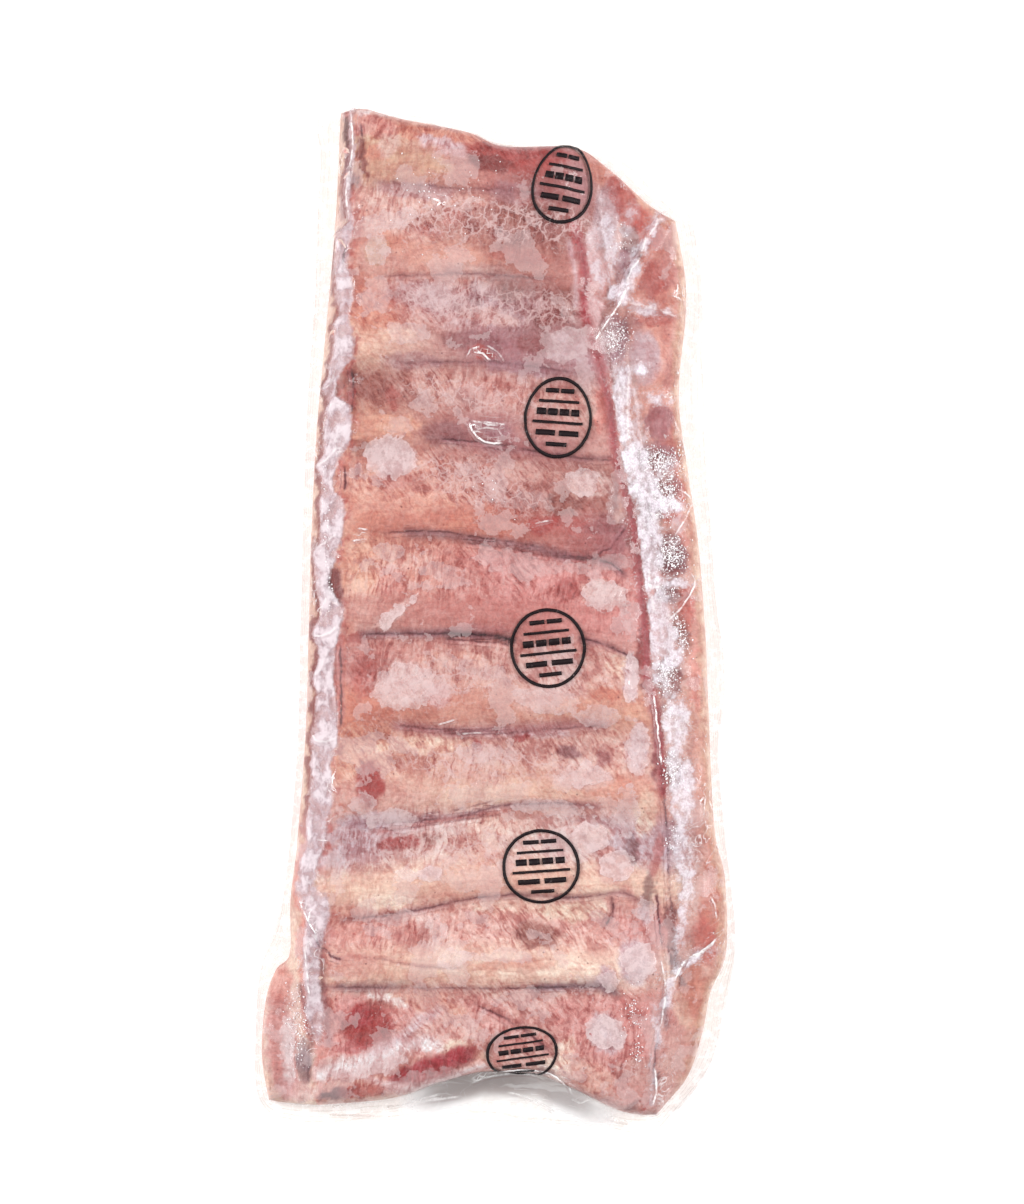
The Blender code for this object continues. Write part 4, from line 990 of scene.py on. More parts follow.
def makeBone(number, rib, material):
    xEnd = rib[3]
    sawnY = float(ribY(rib, rack["ribStation"]))
    level = ribLevel(rack["ribStation"], sawnY) - bone["cover"] / 2
    profile = sawnProfile(sawnY)
    work = bmesh.new()
    sawnLayer = work.verts.layers.float.new("sawnEnd")
    marrowLayer = work.verts.layers.float.new("marrow")
    turns = []
    for step in range(bone["steps"] + 1):
        share = step / bone["steps"]
        blunt = 1 - (1 - bone["blunt"]) * max(0, (share - 0.93) / 0.07) ** 2
        halfWidth = blunt * rack["ribWidth"] / 2 * (1 + bone["widens"] * (share - 0.5))
        halfThickness = blunt * rack["ribThickness"] / 2 * (1 - bone["thins"] * (share - 0.5))
        turn = bmesh.ops.create_circle(work, segments=bone["sides"], radius=1)["verts"]
        for vert in turn:
            aside, up = vert.co.x * halfWidth, vert.co.y * halfThickness
            start = np.interp(level + up, *profile) - bone["sawnProud"]
            x = start + (xEnd - start) * share
            y = float(ribY(rib, x))
            cover = surfaceAt(x, y + aside, 20.0) - bone["cover"]
            vert.co = (x, y + aside, min(ribLevel(x, y) + up, cover))
            vert[sawnLayer] = 1.0 if step == 0 else 0.0
        turns.append([edge for edge in work.edges if edge.verts[0] in turn and edge.verts[1] in turn])
    for first, second in zip(turns, turns[1:]):
        bmesh.ops.bridge_loops(work, edges=first + second)
    ends = bmesh.ops.holes_fill(work, edges=turns[0] + turns[-1], sides=0)["faces"]
    sawnFace = min(ends, key=lambda face: face.calc_center_median().x)
    bmesh.ops.inset_individual(work, faces=[sawnFace], thickness=1.3, depth=0)
    for vert in sawnFace.verts:
        vert[marrowLayer] = 1.0
        vert[sawnLayer] = 1.0
        vert.co.x += 0.25  # the spongy middle is a little hollowed
    bmesh.ops.inset_individual(work, faces=[sawnFace], thickness=0.5, depth=0)
    for vert in work.verts:
        vert.co *= mm
    return addPiece(f"rib_bone_{number:02d}", work, material, [f"rib_{number:02d}"])


boneMaterial = makeBoneMaterial()
for number, rib in enumerate(ribs, 1):
    makeBone(number, rib, boneMaterial)
print("bones ready")

# ---- the vacuum bag

bag = {
    "columns": 160, "rows": 340,
    "gap": 0.5,  # from the meat's mean surface
    "bareLine": 1.1,  # half width of the bare line along the seam
    "rings": [0.03, 0.08, 0.14, 0.2, 0.27, 0.34, 0.41, 0.48, 0.55, 0.62, 0.69, 0.76, 0.83, 0.89, 0.95, 1.0],
    "film": 0.35,
    "hemWave": 1.4, "hemWaves": 31,
    "edgeWidth": 1.6,
    "notchDepth": 16,
}
tents = [  # small peaks where the film stands off the sawn side: x, y, half length, half width, turn, height
    (-60, 81, 3, 2, 20, 1.3), (-60, 71, 3, 2, 30, 1.2), (-62, 54, 3.4, 2, 25, 1.4), (-63, 23, 3.4, 2.4, 20, 1.4),
    (-63, 12, 3, 2, -20, 1.2), (-60, -7, 3, 2, 0, 1.2), (-61, -42, 4, 2.4, 30, 1.4), (-56, 104, 3, 2, 10, 1.2),
    (-53, 134, 3, 2.4, 30, 1.2), (-66, -100, 8, 2, -62, 1.5), (-62, -108, 4, 2, -50, 1.0),
    (-64, -90, 4, 2, -60, 1.0),
]
ridges = [  # folds that stand up in the film: height, width, points
    (2.2, 1.0, [(62, 143), (57.8, 141), (54, 135.6), (51.8, 128.8), (49.4, 124.6), (46.8, 121), (46, 116), (38, 103)]),
    (1.5, 0.9, [(44, 111.5), (54, 110), (64, 106.4)]),
    (0.8, 0.6, [(-20.6, 148), (-18, 146), (-20, 143.6)]),
    (0.7, 0.5, [(-8.8, 69.3), (-5.3, 62.6), (2, 61.6)]), (0.5, 0.5, [(-8.8, 69.3), (2, 68.6)]),
    (0.9, 0.7, [(62, -126), (66.9, -119), (72, -115), (79, -110)]),
    (0.8, 0.8, [(-68.5, -98), (-64, -106), (-61, -113)]),
    (0.7, 0.6, [(-48, 32), (-44, 31.6)]), (0.6, 0.6, [(-49, 28), (-45, 28)]),
    (0.8, 0.7, [(69, -84), (66, -104), (62, -118)]),
    (0.6, 0.6, [(55.3, -24), (58, -51)]),
]
creases = [  # painted highlights: white lines where the film is folded sharply, each with a painted shadow line beside it: strength, points
    (0.75, [(57.8, 142), (56, 137.4), (52.9, 134), (51.6, 128.8), (49.4, 124.6), (46.8, 121.5), (46.4, 116.5)]),
    (1.0, [(46.6, 117), (42.8, 109.4), (38.6, 103.4), (34.4, 97)]), (0.5, [(44.6, 111.3), (53.9, 110.2), (64.5, 106)]),
    (1.0, [(-22, 147.4), (-19.6, 147.6), (-18.6, 145), (-21, 144)]),
    (0.9, [(-9, 69.4), (-8, 66), (-5, 62.8), (-1, 61.6), (3, 62)]), (0.7, [(-8.6, 69.4), (-3, 69), (4, 68.2)]),
    (0.5, [(-7, 66.4), (-3, 67.2), (1.4, 66.4), (3, 63.6)]),
    (0.8, [(-10, 91.6), (-8.4, 94.6), (-5, 95.4)]), (0.9, [(-7.6, 93.6), (-4, 93), (-1.4, 90.4)]),
    (0.5, [(-3, 96), (1, 93.6), (3.4, 90)]), (0.8, [(-47.6, 32), (-44.4, 31.5)]), (0.9, [(-49.8, 27.6), (-45, 28.4)]),
    (0.7, [(14, 33.6), (20, 35)]), (0.6, [(-20, -36.6), (-13, -34.6)]), (0.5, [(-12, -39.8), (-4, -39.4)]),
    (1.1, [(62.6, -126.6), (65, -121.6), (68.4, -118), (72.6, -116.6), (79, -110.6)]),
    (0.8, [(78.2, -111.6), (75, -115.4), (70, -119)]), (0.7, [(75.6, -97), (77.4, -101), (77.8, -105)]),
    (1.0, [(-68.8, -97.6), (-66, -103.4), (-62, -110)]), (0.8, [(-66.6, -112.6), (-66, -121), (-64.6, -133)]),
    (0.9, [(55.3, -25.6), (56.6, -36), (58.1, -50.4)]), (0.6, [(53.6, 18), (55.6, 2)]),
    (0.7, [(47, 88), (46.4, 74), (47, 62)]), (0.8, [(58, -118), (59.6, -131), (57.6, -143)]),
    (0.9, [(55.6, -156), (56.6, -164), (55, -170)]), (0.7, [(64, 46), (69.6, 42.6), (66, 34), (60, 26)]),
    (0.7, [(68.4, 17), (70.4, 13), (66, 5), (60, -1)]), (0.6, [(62, 72), (66, 64), (68, 56)]),
    (0.7, [(-50.4, 178.6), (-49.6, 166), (-51, 155), (-52, 148), (-50.4, 139)]),
    (0.6, [(-61, 81), (-57.6, 82.4), (-55.6, 88)]), (0.7, [(-63.4, 54), (-59, 56), (-55, 61)]),
    (0.7, [(-65, -5), (-60, -5.6), (-55, -2)]), (0.7, [(-65.2, -39.6), (-61, -43), (-56, -41)]),
    (0.6, [(-64.4, 24.6), (-60, 27), (-55.6, 30)]), (0.6, [(-64.4, -20), (-61.6, -18.4), (-60, -13)]),
    # the loose film below the rack
    (1.3, [(-9.4, -164.6), (-4, -160.6), (6, -158), (16, -158), (22, -160.4), (25.6, -165), (28, -170.6)]),
    (1.0, [(-9, -165.4), (-2, -162.6), (10, -161.4), (18, -163.6)]), (0.8, [(34, -170.6), (30, -172.6), (27, -171)]),
    (0.8, [(-40, -174), (-24, -171.6), (-12, -170)]), (0.9, [(-30, -171.6), (-20, -169.4)]),
    (0.9, [(4, -168.6), (12, -170.6), (22, -176)]), (0.7, [(38, -178.4), (48, -180.4)]),
    (0.6, [(-60, -176.6), (-42, -177)]),
]
clingPatches = [  # crisp pale patches where the film has come away: x, y, half length, half width, turn, strength
    (-36, 57, 9, 7.5, 0, 0.9), (-33, 68, 5, 3, 0, 0.4), (-35, 2, 8.5, 2, 40, 0.9), (-31, -23, 12, 8, 10, 0.7),
    (31, 48, 6, 5.4, 10, 0.8), (38, 9, 9, 4.6, -6, 0.8), (33, -76, 7, 5.4, 0, 0.9), (42, -86, 6, 5.4, 0, 0.9),
    (-31, -88, 4.6, 2.2, 0, 0.8), (-22.5, -88, 4, 3, 0, 0.9), (-15, -118, 6, 3.4, 0, 0.8), (6, -117, 12, 2.6, 0, 0.5),
    (50, -119, 6, 8, 0, 1.0), (39.5, -125, 3, 4.6, 0, 0.9), (39, -144, 7, 6, -20, 1.0), (33, -54, 8, 4, 10, 0.7),
    (18, -28, 12, 5, -10, 0.6), (47.5, -20, 2.6, 8, 0, 0.9), (50, -45, 4, 9, -6, 0.8), (47, 0, 3, 6, 0, 0.6),
    (-46, -64, 5, 4, 0, 0.6), (-36, -69, 10, 3.4, 6, 0.7), (-6, -46, 8, 4, 0, 0.5), (26, -80, 8, 5, 0, 0.5),
    (52, -101, 4, 4.6, 0, 0.7), (40, 20, 8, 3, 0, 0.4), (-30, 100, 8, 4, 0, 0.5), (-41, 129, 4.6, 5.4, 0, 0.7),
    (26, 96, 9, 6, 30, 0.6), (38, 98, 6, 5, 10, 0.5), (-10, 78, 12, 4, 0, 0.3), (4, 116, 12, 5, 0, 0.3),
    (-36, 140, 9, 3.4, 8, 0.6), (-18, 112, 14, 4, -10, 0.4), (-42, 112, 6, 5, -30, 0.5), (8, 20, 14, 4, -6, 0.4), (-18, 16, 10, 3, -20, 0.45), (-38, 24, 7, 2.6, 0, 0.5), (30, 18, 7, 2.4, -20, 0.5),
    (-10, -16, 14, 3, -14, 0.4), (22, -14, 9, 3, -24, 0.5), (36, -34, 7, 4, -8, 0.55), (-46, -48, 3, 6, 0, 0.5),
    (-20, -108, 3, 6, 0, 0.6), (-34, -104, 6, 3, 0, 0.5), (0, -60, 14, 4, 4, 0.4), (20, -66, 14, 3, -4, 0.6),
    (46, -67, 4, 9, 0, 0.6), (-8, -90, 10, 4, 0, 0.4), (-73, -148, 3, 10, 0, 0.7), (-26, -162, 14, 4, 14, 0.4),
    (-42, -156, 11, 3.4, 16, 0.7), (43, 40, 4, 7, 0, 0.5), (12, 42, 8, 4, 0, 0.3), (-24, -132, 10, 3, -20, 0.3),
]


def bagLift(x, y):  # how far the film stands off
    lift = np.zeros(len(x))
    for *place, height in tents:
        lift = np.maximum(lift, height * strokeOf(x, y, place) ** 1.5)
    for height, width, points in ridges:
        far = toLine(x, y, points)
        lift = np.maximum(lift, height * np.exp(-((far / width) ** 2)))
    creases = 1 - np.abs(wander(x, y, 9, 41.0, 3))
    lift += 0.35 * np.clip((creases - 0.86) / 0.14, 0, 1) ** 2
    outer, inner = stripAt(y)
    strip = ease(-1, 1, np.minimum(x - outer, inner - x))
    lift += strip * (0.3 + 0.5 * np.abs(wander(x, y, 4, 51.0, 3)))
    frosty = ease(0, 3, x - xAt(seamLine, y)) * ease(16, 12, x - xAt(seamLine, y))
    return lift + 0.5 * frosty


def makeBag(material):
    work, station, rimShares, x, y, toSide = rackGrid(bag["columns"], bag["rows"])
    reachLayer = work.verts.layers.float["reach"]
    z = rounded(rackHeight(x, y), toSide, rack["foot"])
    for vert, place in zip(work.verts, zip(x, y, z)):
        vert.co = place
    bmesh.ops.smooth_vert(work, verts=[vert for vert in work.verts if not vert.is_boundary], factor=0.5,
                          use_axis_x=False, use_axis_y=False, use_axis_z=True)
    work.normal_update()
    rim = rimOf(work)
    centres = np.array([vert.co[:2] for vert in rim])
    tangent = np.roll(centres, -1, 0) - np.roll(centres, 1, 0)
    area = np.sum(centres[:, 0] * np.roll(centres[:, 1], -1) - np.roll(centres[:, 0], -1) * centres[:, 1])
    outward = np.stack([tangent[:, 1], -tangent[:, 0]], 1) / np.linalg.norm(tangent, axis=1)[:, None]
    outward *= math.copysign(1, area)
    lifts = bag["gap"] + bagLift(x, y) * ease(0, 4, toSide)
    normals = [vert.normal.copy() for vert in work.verts]
    for vert, normal, lift in zip(work.verts, normals, lifts):
        if not vert.is_boundary:
            vert.co += normal * lift
    for vert, (ax, ay) in zip(rim, outward):
        vert.co.x += 0.5 * ax
        vert.co.y += 0.5 * ay
    # the hem's outer edge, matched to the nearest point all the way round and evened out
    stops = 2000
    hemLine = along(hemEdge, np.arange(stops) / stops, closed=True)
    shares = np.array([np.argmin(np.hypot(*(hemLine - centre).T)) for centre in centres]) / stops
    turned = np.unwrap(shares * 2 * math.pi)
    sweep = turned[-1] - turned[0]
    sweep = math.copysign(2 * math.pi, sweep)
    ramped = turned - sweep * np.arange(len(rim)) / len(rim)
    kernel = np.exp(-((np.arange(-14, 15) / 7) ** 2))
    padded = np.concatenate([ramped[-14:], ramped, ramped[:14]])
    evened = np.convolve(padded, kernel / kernel.sum(), "valid") + sweep * np.arange(len(rim)) / len(rim)
    hem = along(hemEdge, (evened / (2 * math.pi)) % 1, closed=True)
    base = np.array([vert.co[:3] for vert in rim])
    reach = np.linalg.norm(hem - base[:, :2], axis=1)
    spread = np.arange(len(rim)) / len(rim)
    ripple = wander(400 * spread, np.zeros(len(rim)), 6, 61.0)
    ripple = np.concatenate([ripple[:-20], ripple[-20:] * np.linspace(1, 0, 20) + ripple[0] * np.linspace(0, 1, 20)])
    for share in bag["rings"]:
        flatShare = ease(0.0, 0.4, share)
        lower = base[:, 2] + (bag["film"] + 0.3 - base[:, 2]) * flatShare
        turns = 2 * math.pi * spread
        wave = bag["hemWave"] * (0.5 + 0.5 * np.sin(bag["hemWaves"] * turns)) * (0.65 + 0.35 * np.sin(7 * turns + 1))
        lower = lower + wave * ease(0.5, 1.0, share) * ease(2, 8, reach)
        lower = lower + 0.5 * np.abs(ripple) * ease(0.05, 0.3, share) * ease(2, 6, reach)
        plan = base[:, :2] + (hem - base[:, :2]) * share
        for vert in drawRim(work):
            vert.co = (*plan[vert[station]], lower[vert[station]])
            vert[reachLayer] = share
    # folded under at the hem, then flat below the rack
    middle = hem.mean(axis=0)
    for inward, height in ((0.0, -0.3), (4.0, 0.05), (16.0, 0.05)):
        for vert in drawRim(work):
            toMiddle = middle - np.array(vert.co[:2])
            step = toMiddle / np.linalg.norm(toMiddle) * inward
            low = max(vert.co.z + height, 0.02) if inward == 0 else height
            vert.co = (vert.co.x + step[0], vert.co.y + step[1], low)
    bmesh.ops.holes_fill(work, edges=[edge for edge in work.edges if edge.is_boundary], sides=0)
    for vert in work.verts:
        vert.co *= mm
    piece = addPiece("vacuum_bag", work, material, ["film_bag"])
    x, y, z = (verticesOf(piece.data) / mm).T
    fine, coarse = wander(x, y, 3, 71.0), wander(x, y, 12, 73.0)
    top = ease(5, 8, z)
    outer, inner = stripAt(y)
    strip = 0.5 + 0.5 * np.minimum(x - outer, inner - x) / bag["edgeWidth"]
    # frost ovals, two of them painted highlights
    frost, frostShare = nearestOval(x + fine, y + coarse, rimeAndHighlights)
    beyondSeam = x - xAt(seamLine, y)
    frost -= 5 * np.exp(-((toLine(x, y, seamCut) / bag["bareLine"]) ** 2))
    loose = np.maximum(ease(0, 4, beyondSeam), ease(3, 0, x - inner)) * top
    cling, clingShare = nearestOval(x + fine, y + coarse, clingPatches)
    # where the painted crease highlights and their painted shadows lie
    at, shown = nearestLine(x + 0.3 * fine, y, creases, 2.5)
    # painted shade on the film below the rack's bottom edge: strongest within 6 mm of the meat, gone 16 mm out
    ends = np.array(bottomEnd)
    below = np.interp(x, ends[:, 0], ends[:, 1]) - y
    notch = ease(bag["notchDepth"], 6, below) * ease(-1.5, 0.5, below) * ease(-40, -16, x) * ease(50, 24, x)
    for name, values in (("frost", frost), ("frostShare", frostShare * top), ("strip", np.clip(strip, 0, 1) * top),
                         ("cling", cling), ("clingShare", clingShare * top), ("hem", ease(4.5, 3.0, z)),
                         ("creaseHighlightAndShadowAt", at), ("creaseHighlightAndShadow", shown), ("notch", notch), ("loose", loose)):
        addField(piece.data, name, values)
    print("bag ready,", len(piece.data.polygons), "faces")
    return piece


def makeFilmMaterial():
    made, tree = newMaterial("clearFilm")
    place = inMillimetres(tree)
    frost, frostShare, strip, cling, clingShare, hemField, notch, creaseHighlightAndShadow, reach, loose = [
        field(tree, name).outputs["Fac"] for name in ("frost", "frostShare", "strip", "cling", "clingShare", "hem", "notch",
                                                      "creaseHighlightAndShadow", "reach", "loose")]

    def noiseAt(scale, detail=4.0, roughness=0.6, distortion=0.0):
        return node(tree, "ShaderNodeTexNoise", Vector=place, Scale=scale, Detail=detail, Roughness=roughness,
                    Distortion=distortion).outputs["Fac"]

    def spread(value, low, high, least, most):
        return node(tree, "ShaderNodeMapRange", {"interpolation_type": "SMOOTHSTEP"}, i0=value, i1=low, i2=high,
                    i3=least, i4=most).outputs[0]

    def patch(distance, size, wobble, softness):  # an oval's field in millimetres, cut to an uneven edge
        scaled = maths(tree, "MULTIPLY_ADD", distance, 0.1, 0.5)
        return use(tree, unevenEdge, Field=scaled, Place=place, Size=size, Wobble=wobble * 0.1,
                   Softness=softness * 0.1).outputs[0]

    grains, clumps, torn = noiseAt(1.3, 3.0, 0.7), noiseAt(0.3, 5.0, 0.7), noiseAt(0.16, 6.0, 0.55)
    # crisp pale patches where the film has come away, painted and scattered
    painted = maths(tree, "MULTIPLY", patch(cling, 0.25, 7.0, 0.25), clingShare)
    scattered = ramp(tree, noiseAt(0.07, 5.0), 0.56, 0.575)
    inside = maths(tree, "MULTIPLY", painted, spread(clumps, 0.4, 0.6, 0.38, 0.68))
    patches = maths(tree, "MULTIPLY", maths(tree, "MAXIMUM", inside, maths(tree, "MULTIPLY", scattered, 0.26)),
                    maths(tree, "SUBTRACT", 1.0, hemField))
    # smooth frost with two painted highlights among its ovals, and the frosted strip over the sawn ends
    shown = maths(tree, "MULTIPLY", patch(frost, 0.3, 5.0, 1.6), frostShare)
    rimeAndHighlightShown = maths(tree, "MULTIPLY", shown, spread(clumps, 0.36, 0.6, 0.45, 0.92))
    dusted = maths(tree, "MULTIPLY", patch(maths(tree, "ADD", frost, 2.5), 0.3, 5.0, 2.0), ramp(tree, grains, 0.52, 0.6))
    rimeAndHighlightShown = maths(tree, "MAXIMUM", rimeAndHighlightShown, maths(tree, "MULTIPLY", dusted, maths(tree, "MULTIPLY", frostShare, 0.4)))
    ribbon = use(tree, unevenEdge, Field=strip, Place=place, Size=0.6, Wobble=0.5, Softness=0.26).outputs[0]
    sawn = maths(tree, "MULTIPLY", ribbon, spread(torn, 0.38, 0.6, 0.15, 0.7))
    rim = maths(tree, "MULTIPLY", maths(tree, "MULTIPLY", ribbon, ramp(tree, strip, 0.8, 0.6)), spread(clumps, 0.4, 0.6, 0.0, 0.5))
    # creases: a painted highlight as a white core, with a painted shadow as a dark line beside it
    at = maths(tree, "ADD", field(tree, "creaseHighlightAndShadowAt").outputs["Fac"],
               maths(tree, "MULTIPLY", maths(tree, "SUBTRACT", noiseAt(0.5), 0.5), 0.7))
    broken = spread(noiseAt(0.3), 0.35, 0.55, 0.25, 1.0)
    paintedHighlight = maths(tree, "MULTIPLY", ramp(tree, maths(tree, "ABSOLUTE", at), 0.5, 0.16), maths(tree, "MULTIPLY", creaseHighlightAndShadow, broken))
    paintedHighlight = node(tree, "ShaderNodeMath", {"operation": "MULTIPLY", "use_clamp": True}, i0=paintedHighlight, i1=1.0).outputs[0]
    beside = maths(tree, "ABSOLUTE", maths(tree, "SUBTRACT", at, 0.9))
    shadow = maths(tree, "MULTIPLY", ramp(tree, beside, 0.6, 0.1), maths(tree, "MULTIPLY", creaseHighlightAndShadow, 0.3))
    # thin glints where loose film is drawn into small wrinkles
    wrinkle = maths(tree, "ABSOLUTE", maths(tree, "SUBTRACT", noiseAt(0.075, 3.0, 0.55, 1.6), 0.5))
    glint = maths(tree, "MULTIPLY", ramp(tree, wrinkle, 0.016, 0.004), ramp(tree, noiseAt(0.06, 3.0), 0.5, 0.62))
    glint = maths(tree, "MULTIPLY", glint, spread(loose, 0.0, 1.0, 0.16, 0.62))
    paintedHighlight = maths(tree, "MAXIMUM", paintedHighlight, glint)
    # the hem: nearly clear, with long faint lines along its edge
    drift = maths(tree, "ADD", reach, maths(tree, "MULTIPLY", maths(tree, "SUBTRACT", noiseAt(0.03, 3.0), 0.5), 0.5))
    lines = maths(tree, "MULTIPLY", ramp(tree, reach, 0.96, 0.99), 0.25)
    for level, strength in ((0.18, 0.2), (0.42, 0.32), (0.66, 0.2), (0.86, 0.32)):
        off = maths(tree, "ABSOLUTE", maths(tree, "SUBTRACT", drift, level))
        lines = maths(tree, "MAXIMUM", lines, maths(tree, "MULTIPLY", ramp(tree, off, 0.04, 0.0), strength))
    hemHaze = maths(tree, "MULTIPLY", hemField, maths(tree, "MULTIPLY", lines, broken))
    level = use(tree, streaks, Place=place, Turn=0.1, Length=30.0, Width=3.2, Bend=0.3).outputs[0]
    # painted shade: the film below the rack's bottom edge is made grey and more opaque
    soft = noiseAt(0.045, 3.0, 0.5, 0.6)
    paintedShadeFilm = maths(tree, "MULTIPLY", notch, spread(soft, 0.35, 0.65, 0.86, 0.62))
    haze = maths(tree, "MULTIPLY", spread(clumps, 0.35, 0.7, 0.02, 0.06), maths(tree, "SUBTRACT", 1.0, hemField))
    alpha = haze
    for layer in (patches, rimeAndHighlightShown, sawn, rim, hemHaze, paintedShadeFilm, shadow, paintedHighlight):
        alpha = maths(tree, "MAXIMUM", alpha, layer)
    edgeOn = node(tree, "ShaderNodeLayerWeight", Blend=0.15).outputs["Facing"]
    alpha = node(tree, "ShaderNodeMath", {"operation": "ADD", "use_clamp": True}, i0=alpha,
                 i1=maths(tree, "MULTIPLY", edgeOn, 0.04)).outputs[0]
    colour = (*linear((240, 216, 216)), 1)
    ribbonColour = blend(tree, spread(torn, 0.36, 0.64, 0.0, 1.0), (*linear((206, 184, 194)), 1),
                         (*linear((240, 226, 232)), 1))
    colour = blend(tree, ramp(tree, sawn, 0.1, 0.4), colour, ribbonColour)
    # frost colour, also given to the painted highlights among the frost ovals
    colour = blend(tree, ramp(tree, rimeAndHighlightShown, 0.1, 0.5), colour, blend(tree, ramp(tree, grains, 0.35, 0.6), (
        *linear((222, 206, 218)), 1), (*linear((246, 240, 247)), 1)))
    colour = blend(tree, hemField, colour, (*linear((226, 212, 200)), 1))
    # painted shade: below the rack's bottom edge the film turns grey, darkest nearest the meat
    colour = blend(tree, ramp(tree, notch, 0.05, 0.3), colour, blend(tree, maths(
        tree, "MAXIMUM", maths(tree, "MULTIPLY", ramp(tree, level, 0.54, 0.66), 0.5), ramp(tree, notch, 0.95, 0.45)), (
            *linear((170, 158, 156)), 1), (*linear((240, 237, 237)), 1)))
    # painted shadow beside each crease, then the painted highlight of the creases and glints in white
    colour = blend(tree, shadow, colour, (*linear((120, 70, 78)), 1))
    colour = blend(tree, paintedHighlight, colour, (1, 0.97, 0.97, 1))
    fold = noiseAt(0.25, 4.0, 0.5, 0.8)
    bump = node(tree, "ShaderNodeBump", Strength=0.4, Distance=0.0005,
                Height=maths(tree, "ADD", fold, maths(tree, "MULTIPLY", grains, 0.15)))
    shader = node(tree, "ShaderNodeBsdfPrincipled", Base_Color=colour, Alpha=alpha, Normal=bump.outputs[0], IOR=1.9,
                  Roughness=spread(maths(tree, "MAXIMUM", rimeAndHighlightShown, sawn), 0.0, 0.6, 0.16, 0.55))
    node(tree, "ShaderNodeOutputMaterial", Surface=shader.outputs[0])
    return made


bagPiece = makeBag(makeFilmMaterial())

# ---- ink stamps printed on the bag: a ring round plain bars

stamp = {"lift": 0.12, "thick": 0.06, "ringWidth": 0.085, "egg": 0.1, "wobble": 0.12}
stampPlaces = [  # x, y, half width, half height, turn, how much narrower the top is
    (23.8, 152.6, 10.6, 14.3, -10, 0.16), (22.0, 70.7, 11.9, 14.3, -4, 0.04), (18.5, -9.8, 13.3, 14.0, 6, 0.0),
    (16.1, -86.1, 13.6, 13.0, 4, 0.0), (9.5, -151.9, 12.6, 9.8, 8, -0.08),
]
stampBars = [(-0.22, 0.66, 0.2, 0.055), (0.24, 0.66, 0.2, 0.055), (0, 0.4, 0.6, 0.035), (-0.5, 0.14, 0.14, 0.085),
             (-0.16, 0.14, 0.14, 0.085), (0.18, 0.14, 0.14, 0.085), (0.5, 0.14, 0.12, 0.085), (0, -0.12, 0.74, 0.035),
             (-0.34, -0.38, 0.28, 0.07), (0.34, -0.38, 0.28, 0.07), (0, -0.66, 0.3, 0.05)]


def makeInk():
    made, tree = newMaterial("stampInk")
    place = inMillimetres(tree)
    worn = node(tree, "ShaderNodeTexNoise", Vector=place, Scale=0.5, Detail=5.0, Roughness=0.7).outputs["Fac"]
    alpha = node(tree, "ShaderNodeMapRange", {"interpolation_type": "SMOOTHSTEP"}, i0=worn, i1=0.34, i2=0.46,
                 i3=0.6, i4=0.98).outputs[0]
    shader = node(tree, "ShaderNodeBsdfPrincipled", Specular_IOR_Level=0.2, Base_Color=(*linear((26, 14, 18)), 1), Alpha=alpha,
                  Roughness=node(tree, "ShaderNodeMapRange", i0=worn, i3=0.45, i4=0.6).outputs[0])
    node(tree, "ShaderNodeOutputMaterial", Surface=shader.outputs[0])
    return made


def makeStamps(film, material):
    cover = BVHTree.FromPolygons([vert.co for vert in film.data.vertices],
                                 [list(face.vertices) for face in film.data.polygons])
    work = bmesh.new()
    for x, y, halfWidth, halfHeight, turn, egg in stampPlaces:
        made = []
        turns = [bmesh.ops.create_circle(work, segments=96, radius=radius)["verts"]
                 for radius in (1, 1 - stamp["ringWidth"])]
        loops = [edge for verts in turns for edge in {edge for vert in verts for edge in vert.link_edges}]
        bmesh.ops.bridge_loops(work, edges=loops)
        made += turns[0] + turns[1]
        for barX, barY, halfLength, halfBar in stampBars:
            bar = bmesh.ops.create_grid(work, x_segments=max(2, int(halfLength * 22)), y_segments=2, size=1)["verts"]
            bmesh.ops.scale(work, vec=(halfLength, halfBar, 1), verts=bar)
            bmesh.ops.translate(work, vec=(barX, barY, 0), verts=bar)
            made += bar
        turned = math.radians(turn)
        for vert in made:
            u, v = vert.co.x * (1 - egg * vert.co.y), vert.co.y
            shake = noise.noise_vector((u * 6 + x, v * 6 + y, 0)) * stamp["wobble"]
            offX, offY = u * halfWidth + shake.x, v * halfHeight + shake.y
            placeX = x + offX * math.cos(turned) - offY * math.sin(turned)
            placeY = y + offX * math.sin(turned) + offY * math.cos(turned)
            hit = cover.ray_cast(Vector((placeX * mm, placeY * mm, 0.1)), Vector((0, 0, -1)))[0]
            vert.co = (placeX * mm, placeY * mm, hit.z + stamp["lift"] * mm)
    lower = bmesh.ops.extrude_face_region(work, geom=list(work.faces), use_keep_orig=True)["geom"]
    bmesh.ops.translate(work, vec=(0, 0, -stamp["thick"] * mm),
                        verts=[item for item in lower if isinstance(item, bmesh.types.BMVert)])
    return addPiece("ink_stamps", work, material)


# ---- loose ice crystals under the film

crystal = {"count": 3600, "smallest": 0.25, "largest": 0.85, "seed": 6, "sink": 0.05}


